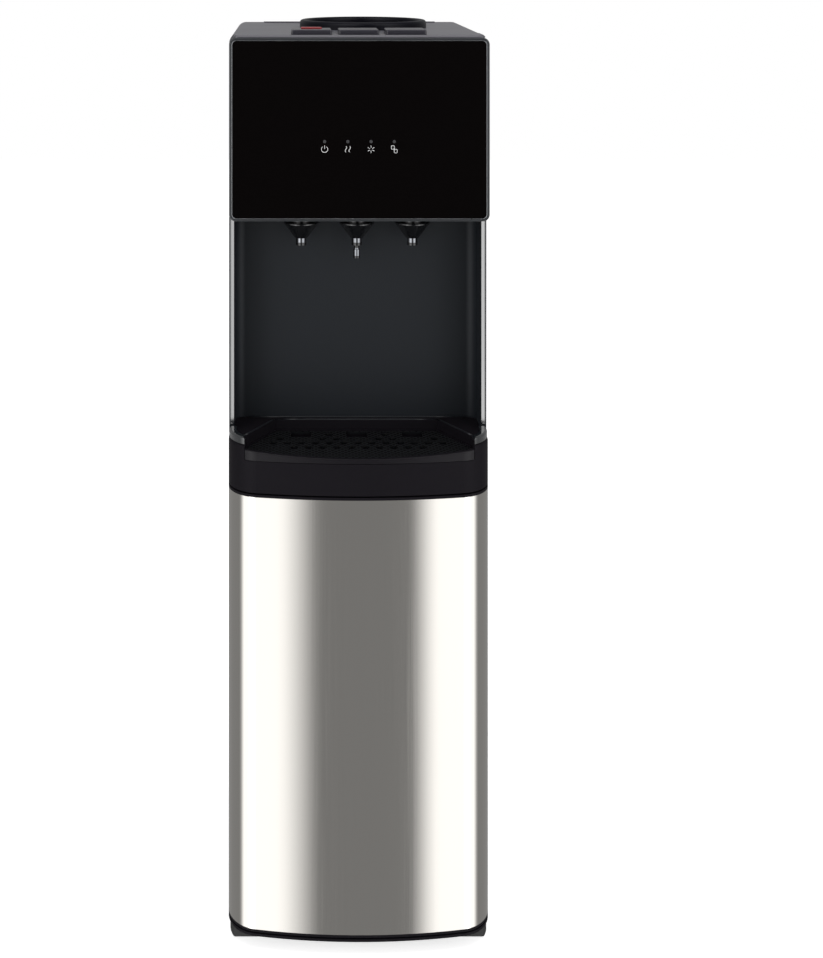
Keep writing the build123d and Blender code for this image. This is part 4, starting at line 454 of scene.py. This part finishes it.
def galvanised_sheet(name):
    """Galvanised steel: crystal flakes of zinc about 7 mm across, each with its own grey and gloss."""
    material, tree, place_on = new_finish(name)
    flakes = add_node(tree, "ShaderNodeTexVoronoi", {"Vector": place_on, "Scale": 1.0 / (7.0 * MM)})
    tone = add_node(tree, "ShaderNodeSeparateColor", {"Color": flakes.outputs["Color"]})
    tint = add_node(tree, "ShaderNodeMix", {"Factor": tone.outputs["Red"], "A": shade(linear("#9a9da0")),
                                            "B": shade(linear("#c2c5c8"))}, data_type="RGBA")
    gloss = add_node(tree, "ShaderNodeMapRange", {"Value": tone.outputs["Green"], "To Min": 0.34,
                                                  "To Max": 0.5})
    shader = add_node(tree, "ShaderNodeBsdfPrincipled", {
        "Base Color": tint.outputs["Result"], "Metallic": 0.9, "Roughness": gloss.outputs["Result"]})
    close_finish(tree, shader)
    return material


def drawn_metal(name, colour, roughness):
    """Drawn or turned metal: clean metal with a little dulling in blotches."""
    material, tree, place_on = new_finish(name)
    dull = add_node(tree, "ShaderNodeTexNoise", {"Vector": place_on, "Scale": 1.0 / (12.0 * MM),
                                                 "Detail": 4.0})
    gloss = add_node(tree, "ShaderNodeMapRange", {"Value": dull.outputs["Fac"], "To Min": roughness - 0.08,
                                                  "To Max": roughness + 0.12})
    dark = tuple(part * 0.72 for part in colour)
    tint = add_node(tree, "ShaderNodeMix", {"Factor": dull.outputs["Fac"], "A": shade(dark),
                                            "B": shade(colour)}, data_type="RGBA")
    shader = add_node(tree, "ShaderNodeBsdfPrincipled", {
        "Base Color": tint.outputs["Result"], "Metallic": 1.0, "Roughness": gloss.outputs["Result"]})
    close_finish(tree, shader)
    return material


def bead_foam(name):
    """Moulded bead foam: white beads about 4 mm across, pressed together with fine joints."""
    material, tree, place_on = new_finish(name)
    beads = add_node(tree, "ShaderNodeTexVoronoi", {"Vector": place_on, "Scale": 1.0 / (4.0 * MM)},
                     feature="DISTANCE_TO_EDGE")
    joint = add_node(tree, "ShaderNodeMapRange", {"Value": beads.outputs["Distance"], "From Max": 0.12})
    tint = add_node(tree, "ShaderNodeMix", {"Factor": joint.outputs["Result"], "A": shade(linear("#cfcdc6")),
                                            "B": shade(linear("#f1f0ec"))}, data_type="RGBA")
    relief = add_node(tree, "ShaderNodeBump", {"Height": joint.outputs["Result"], "Strength": 0.4,
                                               "Distance": 0.3 * MM})
    shader = add_node(tree, "ShaderNodeBsdfPrincipled", {
        "Base Color": tint.outputs["Result"], "Roughness": 0.85, "Normal": relief.outputs["Normal"]})
    close_finish(tree, shader)
    return material


def plated_nozzle(name, bands):
    """Polished black nozzle with smoked chrome bands: the plating lies between two heights of each band."""
    material, tree, place_on = new_finish(name)
    height = add_node(tree, "ShaderNodeSeparateXYZ", {"Vector": place_on}).outputs["Z"]
    upper, lower = (add_node(tree, "ShaderNodeMath", {0: height, 1: (low + high) / 2, 2: (high - low) / 2},
                             operation="COMPARE") for low, high in bands)
    tip = add_node(tree, "ShaderNodeMath", {0: upper.outputs["Value"], 1: lower.outputs["Value"]},
                   operation="MAXIMUM")
    tint = add_node(tree, "ShaderNodeMix", {"Factor": tip.outputs["Value"], "A": shade(linear("#131416")),
                                            "B": shade(linear("#74767a"))}, data_type="RGBA")
    gloss = add_node(tree, "ShaderNodeMapRange", {"Value": tip.outputs["Value"], "To Min": 0.16,
                                                  "To Max": 0.12})
    shader = add_node(tree, "ShaderNodeBsdfPrincipled", {
        "Base Color": tint.outputs["Result"], "Metallic": tip.outputs["Value"],
        "Roughness": gloss.outputs["Result"]})
    close_finish(tree, shader)
    return material


def lens_plastic(name):
    """Diffusing lens: milky grey plastic that is dim while its light is off."""
    material, tree, place_on = new_finish(name)
    cloud = add_node(tree, "ShaderNodeTexNoise", {"Vector": place_on, "Scale": 1.0 / (1.2 * MM)})
    tint = add_node(tree, "ShaderNodeMix", {"Factor": cloud.outputs["Fac"], "A": shade(linear("#2a2a2c")),
                                            "B": shade(linear("#464648"))}, data_type="RGBA")
    shader = add_node(tree, "ShaderNodeBsdfPrincipled", {
        "Base Color": tint.outputs["Result"], "Roughness": 0.35})
    close_finish(tree, shader)
    return material


def circuit_board(name):
    """Solder resist on a circuit board: dark green with lighter tracks about 2 mm apart."""
    material, tree, place_on = new_finish(name)
    tracks = add_node(tree, "ShaderNodeTexWave", {"Vector": place_on, "Scale": 0.5 / (2.0 * MM) / 6.28,
                                                  "Distortion": 3.0}, bands_direction="Z")
    tint = add_node(tree, "ShaderNodeMix", {"Factor": tracks.outputs["Fac"], "A": shade(linear("#123a22")),
                                            "B": shade(linear("#1e5a34"))}, data_type="RGBA")
    shader = add_node(tree, "ShaderNodeBsdfPrincipled", {
        "Base Color": tint.outputs["Result"], "Roughness": 0.3})
    close_finish(tree, shader)
    return material


def dress(material, *nodes):
    """Put a finish on CAD nodes through their objects' own slots."""
    for name in nodes:
        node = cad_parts[name]
        if not node.material_slots:
            node.data.materials.append(material)
        for slot in node.material_slots:
            slot.material = material


# Operators, one for each group of pieces


class DISPENSER_OT_mouldings(bpy.types.Operator):
    """Satin ABS on the niche, tray, apron, base and top cover."""

    bl_idname = "dispenser.mouldings"
    bl_label = "Mouldings"

    def execute(self, context):
        colours = context.scene.dispenser_colours
        # A fine even grain scatters the light, so dark surfaces read as soft slate rather than mirror
        satin = moulded_plastic("satin_abs_slate_black", colours.moulding, 0.36, 1.2, 0.02)
        dress(satin, "tap_plate", "fascia_frame")
        # The grain keeps the wall flat and dull, and the polished lip draws two bright upright lines
        niche = polished_lip_plastic("grained_abs_with_polished_lip", colours.moulding,
                                     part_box("left_side_panel")[0].y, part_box("niche_liner")[1].x)
        dress(niche, "niche_liner")
        # Dull and blacker than the niche, so the apron reads as one plain dark band over the bright door
        apron = moulded_plastic("dull_abs_deep_black", colours.apron, 0.5, 2.0, 0.006, specular=0.04)
        dress(apron, "drip_housing", "base_pan", "door_top_cap", "door_bottom_cap")
        # A little glossier than the apron, so the tray's lip catches a faint light line
        tray = moulded_plastic("satin_abs_deep_black", colours.apron, 0.3, 2.0, 0.006, specular=0.12)
        dress(tray, "drip_tray")
        # Small pits between the real holes break the grille's gloss into a fine sparkle; their near-black
        # insides are painted shade
        dress(perforated_plastic("perforated_abs_black", linear("#151618"), 5.5), "drip_grille")
        # Lighter than the rest, with a soft sheen that parts the top from the black front
        cover = moulded_plastic("satin_abs_graphite", colours.cover, 0.3, 1.2, 0.015)
        dress(cover, "top_cover")
        self.deck_beads(context.scene.dispenser_sizes, satin)
        return {"FINISHED"}

    def deck_beads(self, sizes, finish):
        """Deck beads: half-sunk round mouldings along the tray recess and along the foot of the niche wall.

        Each is a circle carried along a plane path on the deck, with its centre on the deck's surface.
        """
        niche_low, niche_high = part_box("niche_liner")
        tray_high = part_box("drip_tray")[1]
        clear = sizes.deck_bead + RECESS_GAP
        side = tray_high.x + clear
        back = tray_high.y + clear
        flat = side - RECESS_SLANT
        knee = back - RECESS_KNEE
        tail = knee - RECESS_TAIL
        corners = ((-side, tail), (-side, knee), (-flat, back), (flat, back), (side, knee), (side, tail))
        edge = np.vstack([line_path(start, end) for start, end in zip(corners[:-1], corners[1:])])
        wall = niche_high.y - NICHE_WALL - sizes.deck_bead
        across = niche_high.x - NICHE_CORNER
        foot = line_path((-across, wall), (across, wall))
        grids = [round_bead(path, sizes.deck_bead, niche_low.z) for path in (edge, foot)]
        mesh = grid_mesh("deck_beads", grids, smooth=True)
        place("deck_beads", mesh, finish, "cabinet")


class DISPENSER_OT_door(bpy.types.Operator):
    """Brushed steel on the door's skin, and the finishes behind it."""

    bl_idname = "dispenser.door"
    bl_label = "Steel door"

    def execute(self, context):
        colours = context.scene.dispenser_colours
        # Upright brushing spreads reflections sideways, so the bowed front shows soft upright bands
        steel = brushed_steel("brushed_stainless_steel_upright", colours.steel, 0.09, 0.9, 260.0, 0.004)
        dress(steel, "door_skin")
        # Even grey with a broad soft sheen, as on a vacuum formed sheet
        liner = moulded_plastic("formed_polystyrene_grey", linear("#8f9396"), 0.5, 3.0, 0.03)
        dress(liner, "door_liner")
        # Dull black, so the seal reads as a dark line round the liner
        gasket = moulded_plastic("magnetic_gasket_vinyl_black", linear("#17181a"), 0.6, 1.5, 0.03)
        dress(gasket, "door_gasket")
        # Bright turned steel that glints in the hinge gap
        pins = drawn_metal("turned_steel_pins", linear("#b9bbbd"), 0.3)
        dress(pins, "hinge_pins")
        return {"FINISHED"}


class DISPENSER_OT_sheet_metal(bpy.types.Operator):
    """Powder coat on the outer sheets and zinc on the inner ones."""

    bl_idname = "dispenser.sheet_metal"
    bl_label = "Sheet metal"

    def execute(self, context):
        colours = context.scene.dispenser_colours
        # A satin film with slight waviness: broad dull highlights that ripple a little
        coat = coated_sheet("powder_coated_steel_black", colours.side, 0.36, 2.5)
        dress(coat, "left_side_panel", "right_side_panel", "rear_panel", "cabinet_frame")
        # Zinc flakes of differing greys sparkle where the cabinet is open
        zinc = galvanised_sheet("galvanised_steel_spangled")
        dress(zinc, "cabinet_partition", "cabinet_ceiling", "tank_shelf", "hot_tank_bracket")
        return {"FINISHED"}


class DISPENSER_OT_front_panel(bpy.types.Operator):
    """Acrylic front panel with its bead, indicator lenses and printed marks."""

    bl_idname = "dispenser.front_panel"
    bl_label = "Front panel"

    def execute(self, context):
        colours = context.scene.dispenser_colours
        sizes = context.scene.dispenser_sizes
        # Deep black with mirror gloss: it shows the room in front as a faint sharp image
        acrylic = polished_acrylic("polished_acrylic_black", colours.panel)
        dress(acrylic, "front_panel")
        # Unlit lenses show as dim milky dots on the black panel
        dress(lens_plastic("diffusing_lens_grey"), "indicator_lights")
        # Glossy green with paler tracks, seen only inside the head
        dress(circuit_board("solder_resist_green"), "indicator_board")
        self.bead(sizes)
        self.marks(colours, sizes)
        return {"FINISHED"}

    def bead(self, sizes):
        """Bead: a circle of the bead's radius carried round the panel's rounded outline."""
        low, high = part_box("front_panel")
        centre = ((low.x + high.x) / 2, (low.z + high.z) / 2)
        path = rounded_frame(high.x - low.x, high.z - low.z, PANEL_CORNER, centre)
        outward = path - np.array(centre)
        outward /= np.linalg.norm(outward, axis=1, keepdims=True)
        turn = np.linspace(0.0, 2.0 * np.pi, 10, endpoint=False)[None, :, None]
        ring = path[:, None, :] + sizes.bead * np.cos(turn) * outward[:, None, :]
        depth = low.y + sizes.bead * (BEAD_SETBACK + np.sin(turn[..., 0])) * np.ones((len(path), 1))
        points = np.stack([ring[..., 0], depth, ring[..., 1]], axis=-1)
        # Painted highlight: satin silver metal whose thin grey line stands in for the light caught along the
        # panel's edge
        highlight_silver = drawn_metal("silver_trim_painted_highlight", linear("#97999c"), 0.3)
        mesh = grid_mesh("panel_bead", [points], wrap_rows=True, smooth=True)
        place("panel_bead", mesh, highlight_silver, "cabinet")

    def marks(self, colours, sizes):
        """Printed marks: arcs and lines on the panel's face under each indicator lens."""
        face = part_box("front_panel")[0].y
        lens_low, lens_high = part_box("indicator_lights")
        level = (lens_low.z + lens_high.z) / 2 - sizes.mark_drop
        pitch = (lens_high.x - lens_low.x - (lens_high.z - lens_low.z)) / 3
        unit = sizes.mark / 2
        # Flat white ink that stays crisp against the gloss
        ink = moulded_plastic("screen_print_white", colours.print_ink, 0.5, 1.0, 0.005)
        spokes = np.radians(np.arange(6) * 60.0 + 90.0)
        tips = np.stack([np.cos(spokes), np.sin(spokes)], axis=1) * unit
        wave = np.linspace(-1.0, 1.0, 24)
        pads = [rounded_frame(0.8 * unit, 0.95 * unit, 0.2 * unit, (shift * unit, -shift * 1.3 * unit))
                for shift in (-0.38, 0.38)]
        designs = {
            "mark_power": [arc_path(0.85 * unit, 130.0, 410.0), line_path((0.0, 0.1 * unit), (0.0, unit))],
            "mark_heating": [
                np.stack([x * unit + 0.22 * unit * np.sin(wave * 3.0), wave * 0.8 * unit], axis=1)
                for x in (-0.5, 0.5)
            ],
            "mark_cooling": [line_path(0.38 * tip, tip) for tip in tips],
            "mark_supply": pads,
        }
        for number, (name, paths) in enumerate(designs.items()):
            across = (number - 1.5) * pitch

            def on_panel(points, lift, across=across):
                depth = np.full(len(points), face - lift)
                return np.stack([points[:, 0] + across, depth, points[:, 1] + level], axis=1)

            closed = paths is pads
            grids = [stroke_on(path, sizes.stroke, sizes.ink, on_panel, closed) for path in paths]
            place(name, grid_mesh(name, grids, wrap_rows=closed), ink, "cabinet")


class DISPENSER_OT_nozzles(bpy.types.Operator):
    """Polished nozzles with plated tips, and the taps above them."""

    bl_idname = "dispenser.nozzles"
    bl_label = "Nozzles"

    def execute(self, context):
        plating = {"hot_nozzle": SPOUT_PLATING, "room_nozzle": THIN_SPOUT_PLATING}
        bands = [tuple(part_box(name)[0].z + height for height in heights) for name, heights in plating.items()]
        # Gloss black cones over smoked plating, which mirrors the softboxes as two thin bright lines
        finish = plated_nozzle("gloss_abs_with_plated_tip", bands)
        dress(finish, "hot_nozzle", "room_nozzle", "cold_nozzle")
        # Waxy off-white with a soft highlight
        tap = moulded_plastic("acetal_natural_white", linear("#d8d7d0"), 0.42, 1.5, 0.01)
        dress(tap, "hot_tap", "room_tap", "cold_tap")
        return {"FINISHED"}


class DISPENSER_OT_top(bpy.types.Operator):
    """Buttons, child lock, bottle seat and probe."""

    bl_idname = "dispenser.top"
    bl_label = "Buttons and seat"

    def execute(self, context):
        colours = context.scene.dispenser_colours
        # Smoother than the cover, so the tops catch the bright room at a low angle
        button = moulded_plastic("smooth_abs_graphite", linear("#34333a"), 0.22, 2.0, 0.006, spread=0.03,
                                 specular=0.35)
        dress(button, "hot_button", "room_button", "cold_button")
        # Clear bright red, the only colour on the front
        lock = moulded_plastic("gloss_abs_red", colours.lock, 0.2, 2.0, 0.005, spread=0.03)
        dress(lock, "child_lock")
        # Nearly black with a blue cast, so the bottle's well looks deep
        seat = moulded_plastic("satin_abs_navy_black", linear("#0d0d14"), 0.36, 3.0, 0.006, spread=0.03,
                               specular=0.1)
        dress(seat, "bottle_seat")
        # Soft white that stands out in the dark well
        probe = moulded_plastic("polypropylene_white", linear("#e4e4e0"), 0.4, 2.0, 0.01)
        dress(probe, "bottle_probe", "cold_tank_lid")
        return {"FINISHED"}


class DISPENSER_OT_cooling(bpy.types.Operator):
    """Compressor, condenser and pipes at the back."""

    bl_idname = "dispenser.cooling"
    bl_label = "Cooling system"

    def execute(self, context):
        # Thick stoved enamel runs a little, so its gloss waves over welds and wires
        enamel = coated_sheet("stoved_enamel_black", linear("#101112"), 0.25, 6.0)
        dress(enamel, "compressor", "condenser_tube", "condenser_wires")
        # Warm metal, dulled in blotches by brazing and handling
        copper = drawn_metal("drawn_copper_pipe", linear("#c77a55"), 0.3)
        dress(copper, "refrigerant_pipes", "filter_drier", "evaporator_jacket")
        # Dull black with a visible grain
        cover = moulded_plastic("terminal_cover_abs", linear("#191a1c"), 0.45, 1.0, 0.02)
        dress(cover, "terminal_cover", "condenser_clips")
        # Matt black that takes almost no highlight
        rubber = moulded_plastic("moulded_rubber_black", linear("#121212"), 0.75, 0.8, 0.03)
        dress(rubber, "compressor_grommets", "feet")
        return {"FINISHED"}


class DISPENSER_OT_tanks(bpy.types.Operator):
    """Tanks, foam, thermostats and water tubes inside the head."""

    bl_idname = "dispenser.tanks"
    bl_label = "Tanks"

    def execute(self, context):
        # Plain rolled stainless steel: bright, slightly dulled by handling
        dress(drawn_metal("rolled_stainless_steel", linear("#c4c4c2"), 0.28), "cold_tank", "hot_tank",
              "thermostats")
        # White beads with grey joints, matt all over
        dress(bead_foam("moulded_bead_foam_white"), "cold_tank_foam")
        # Milky and smooth, with long soft highlights along the tubes
        dress(moulded_plastic("silicone_tube_milky", linear("#cfcec6"), 0.3, 3.0, 0.01), "water_tubes")
        return {"FINISHED"}


class DISPENSER_OT_rear_fittings(bpy.types.Operator):
    """Switches with their marks, gland, drain and screws."""

    bl_idname = "dispenser.rear_fittings"
    bl_label = "Rear fittings"

    def execute(self, context):
        sizes = context.scene.dispenser_sizes
        # Dull black with a faint grain, a little greyer than the sheet around it
        nylon = moulded_plastic("moulded_nylon_black", linear("#17181a"), 0.42, 1.0, 0.02)
        dress(nylon, "switch_bezel", "cord_gland", "drain_outlet", "drain_cap")
        # Smooth coloured plastic with a small bright highlight, red for heating and green for cooling
        red = moulded_plastic("rocker_abs_red", linear("#a81d1d"), 0.3, 2.0, 0.005)
        dress(red, "heating_rocker")
        green = moulded_plastic("rocker_abs_green", linear("#1f7a3d"), 0.3, 2.0, 0.005)
        dress(green, "cooling_rocker")
        # Small bright dots on the black sheet
        dress(drawn_metal("zinc_plated_screws", linear("#b5b7b4"), 0.3), "panel_screws")
        # Flat white ink on the rockers' dished faces
        white = moulded_plastic("pad_print_white", linear("#e6e6e4"), 0.5, 1.0, 0.005)
        self.rocker_marks("heating_rocker", "heating_switch", white, sizes)
        self.rocker_marks("cooling_rocker", "cooling_switch", white, sizes)
        return {"FINISHED"}

    def rocker_marks(self, node, body, ink, sizes):
        """On and off marks: a line and a ring laid on the rocker's dished face.

        The face is a circular arc across its height; its sag is the dish at the middle and none at
        the ends, so a point at height h stands back by dish times one minus h over half height squared.
        """
        low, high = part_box(node)
        middle_x = (low.x + high.x) / 2
        middle_z = (low.z + high.z) / 2
        half_height = (high.z - low.z) / 2

        def on_rocker(points, lift):
            height = points[:, 1]
            back = ROCKER_DISH * (1.0 - (height / half_height) ** 2)
            depth = high.y - back + lift
            return np.stack([middle_x - points[:, 0], depth, middle_z + height], axis=1)

        line = line_path((0.0, 0.35 * half_height), (0.0, 0.75 * half_height), 12)
        ring = arc_path(ROCKER_RING, 0.0, 360.0, centre=(0.0, -0.55 * half_height))[:-1]
        grids = [stroke_on(path, ROCKER_STROKE, sizes.ink, on_rocker, closed)
                 for path, closed in ((line, False), (ring, True))]
        mesh = grid_mesh(node + "_marks", grids, wrap_rows=(False, True))
        place(node + "_marks", mesh, ink, body)


class DISPENSER_OT_stage(bpy.types.Operator):
    """Pale floor, even light, two side softboxes, an overhead one and the camera."""

    bl_idname = "dispenser.stage"
    bl_label = "Studio"

    def execute(self, context):
        studio = context.scene.dispenser_studio
        context.scene.view_settings.view_transform = "Standard"
        self.floor()
        self.world(context, studio)
        (across, along, height), *rest = SIDE_BOX
        self.softbox("left_softbox", (-across, along, height), *rest, studio.softbox)
        self.softbox("right_softbox", (across, along, height), *rest, studio.softbox)
        self.softbox("overhead_softbox", *OVERHEAD_BOX, studio.overhead)
        camera = bpy.data.cameras.new("photograph_camera")
        camera.lens = studio.lens
        camera.sensor_width = 36.0
        camera.shift_x = studio.shift_x
        camera.shift_y = studio.shift_y
        eye = bpy.data.objects.new("photograph_camera", camera)
        eye.location = (studio.camera_x, studio.camera_y, studio.camera_z)
        eye.rotation_euler = (np.pi / 2, 0.0, 0.0)
        context.scene.collection.objects.link(eye)
        context.scene.camera = eye
        return {"FINISHED"}

    def floor(self):
        """Floor: a flat grid of points on the ground, square and level."""
        metres = np.linspace(-FLOOR_HALF, FLOOR_HALF, 13)
        across, along = np.meshgrid(metres, metres)
        points = np.stack([across, along, np.zeros_like(across)], axis=-1)
        mesh = grid_mesh("studio_floor", [points], wrap_columns=False)
        plane = bpy.data.objects.new("studio_floor", mesh)
        plane.visible_glossy = False
        bpy.context.scene.collection.objects.link(plane)
        # White painted floor: part of its white is its own glow for the camera, the rest takes shadows
        material, tree, place_on = new_finish("white_studio_floor")
        mottle = add_node(tree, "ShaderNodeTexNoise", {"Vector": place_on, "Scale": 2.0})
        tint = add_node(tree, "ShaderNodeMix", {
            "Factor": mottle.outputs["Fac"], "A": shade(linear("#f2f2f2")), "B": shade(linear("#f8f8f8"))},
            data_type="RGBA")
        paint = add_node(tree, "ShaderNodeBsdfDiffuse", {"Color": tint.outputs["Result"]})
        glow = add_node(tree, "ShaderNodeEmission", {"Strength": 0.7})
        seen = add_node(tree, "ShaderNodeLightPath")
        lit = add_node(tree, "ShaderNodeAddShader", {0: paint.outputs[0], 1: glow.outputs[0]})
        surface = add_node(tree, "ShaderNodeMixShader", {0: seen.outputs["Is Camera Ray"],
                                                         1: paint.outputs[0], 2: lit.outputs[0]})
        close_finish(tree, surface)
        mesh.materials.append(material)

    def world(self, context, studio):
        """World: white to the camera and an even fill for matt surfaces.

        Gloss sees a room by the bearing of the ray: bright walls at the sides, grey behind, and ahead
        a grey ground with a dark room above it.
        """
        world = bpy.data.worlds.new("studio_room")
        world.use_nodes = True
        tree = world.node_tree
        tree.nodes.clear()
        direction = add_node(tree, "ShaderNodeTexCoord").outputs["Generated"]
        part = add_node(tree, "ShaderNodeSeparateXYZ", {"Vector": direction})
        forward = add_node(tree, "ShaderNodeMath", {0: part.outputs["Y"], 1: -1.0}, operation="MULTIPLY")
        bearing = add_node(tree, "ShaderNodeMath", {0: part.outputs["X"], 1: forward.outputs["Value"]},
                           operation="ARCTAN2")
        turn = add_node(tree, "ShaderNodeMapRange", {"Value": bearing.outputs["Value"], "From Min": -np.pi,
                                                     "From Max": np.pi})
        walls = self.bearing_ramp(tree, turn, WALL_STOPS)
        beside = self.bearing_ramp(tree, turn, BESIDE_STOPS)
        ahead = add_node(tree, "ShaderNodeMapRange", {"Value": part.outputs["Z"], "From Min": HORIZON[0],
                                                      "From Max": HORIZON[1], "To Min": studio.ground,
                                                      "To Max": studio.ahead})
        bright = add_node(tree, "ShaderNodeMath", {0: walls.outputs["Color"], 1: studio.band},
                          operation="MULTIPLY")
        room = add_node(tree, "ShaderNodeMix", {
            "Factor": beside.outputs["Color"], "A": ahead.outputs["Result"], "B": bright.outputs["Value"]})
        path = add_node(tree, "ShaderNodeLightPath")
        glossy = add_node(tree, "ShaderNodeMath", {0: path.outputs["Is Glossy Ray"],
                                                   1: path.outputs["Is Transmission Ray"]},
                          operation="MAXIMUM")
        fill = add_node(tree, "ShaderNodeMix", {"Factor": glossy.outputs["Value"], "A": studio.fill,
                                                "B": room.outputs["Result"]})
        strength = add_node(tree, "ShaderNodeMix", {"Factor": path.outputs["Is Camera Ray"],
                                                    "A": fill.outputs["Result"], "B": 1.0})
        light = add_node(tree, "ShaderNodeBackground", {"Color": (1.0, 1.0, 1.0, 1.0),
                                                        "Strength": strength.outputs["Result"]})
        add_node(tree, "ShaderNodeOutputWorld", {"Surface": light.outputs[0]})
        context.scene.world = world

    def bearing_ramp(self, tree, turn, stops):
        """Grey ramp over the bearing: stops of degrees from straight ahead and level, in rising order."""
        node = add_node(tree, "ShaderNodeValToRGB", {"Fac": turn.outputs["Result"]})
        elements = node.color_ramp.elements
        elements[0].position = stops[0][0] / 360.0 + 0.5
        elements[1].position = stops[-1][0] / 360.0 + 0.5
        elements[0].color = shade((stops[0][1],) * 3)
        elements[1].color = shade((stops[-1][1],) * 3)
        for degrees, level in stops[1:-1]:
            elements.new(degrees / 360.0 + 0.5).color = shade((level,) * 3)
        return node

    def softbox(self, name, place_at, aim, width, height, power):
        """Softbox: a rectangular area lamp turned to face a point, unseen by the camera itself."""
        lamp = bpy.data.lights.new(name, "AREA")
        lamp.shape = "RECTANGLE"
        lamp.size = width
        lamp.size_y = height
        lamp.energy = power
        box = bpy.data.objects.new(name, lamp)
        bpy.context.scene.collection.objects.link(box)
        towards = np.array(aim) - np.array(place_at)
        yaw = np.arctan2(towards[0], -towards[1])
        pitch = np.arctan2(np.hypot(towards[0], towards[1]), -towards[2])
        box.location = place_at
        box.rotation_euler = (pitch, 0.0, yaw + np.pi)
        box.visible_camera = False
        box.visible_glossy = False


class DISPENSER_PT_sidebar(bpy.types.Panel):
    """Sidebar panel that lists the steps and their settings."""

    bl_idname = "DISPENSER_PT_sidebar"
    bl_label = "Water dispenser"
    bl_space_type = "VIEW_3D"
    bl_region_type = "UI"
    bl_category = "Dispenser"

    def draw(self, context):
        layout = self.layout
        scene = context.scene
        for group in (scene.dispenser_colours, scene.dispenser_sizes, scene.dispenser_studio):
            box = layout.box()
            for name in group.__annotations__:
                box.prop(group, name)
        for operator in OPERATORS:
            layout.operator(operator.bl_idname)


GROUPS = (FinishColours, TrimSizes, StudioSettings)
OPERATORS = (
    DISPENSER_OT_mouldings,
    DISPENSER_OT_door,
    DISPENSER_OT_sheet_metal,
    DISPENSER_OT_front_panel,
    DISPENSER_OT_nozzles,
    DISPENSER_OT_top,
    DISPENSER_OT_cooling,
    DISPENSER_OT_tanks,
    DISPENSER_OT_rear_fittings,
    DISPENSER_OT_stage,
)


def register():
    """Register the classes and hang the settings on the scene."""
    for kind in (*GROUPS, *OPERATORS, DISPENSER_PT_sidebar):
        bpy.utils.register_class(kind)
    bpy.types.Scene.dispenser_colours = bpy.props.PointerProperty(type=FinishColours)
    bpy.types.Scene.dispenser_sizes = bpy.props.PointerProperty(type=TrimSizes)
    bpy.types.Scene.dispenser_studio = bpy.props.PointerProperty(type=StudioSettings)


def unregister():
    """Take the settings off the scene and unregister the classes."""
    del bpy.types.Scene.dispenser_colours
    del bpy.types.Scene.dispenser_sizes
    del bpy.types.Scene.dispenser_studio
    for kind in reversed((*GROUPS, *OPERATORS, DISPENSER_PT_sidebar)):
        bpy.utils.unregister_class(kind)


def main():
    """Run every step in order."""
    register()
    bpy.ops.dispenser.mouldings()
    bpy.ops.dispenser.door()
    bpy.ops.dispenser.sheet_metal()
    bpy.ops.dispenser.front_panel()
    bpy.ops.dispenser.nozzles()
    bpy.ops.dispenser.top()
    bpy.ops.dispenser.cooling()
    bpy.ops.dispenser.tanks()
    bpy.ops.dispenser.rear_fittings()
    bpy.ops.dispenser.stage()


if __name__ == "__main__":
    main()
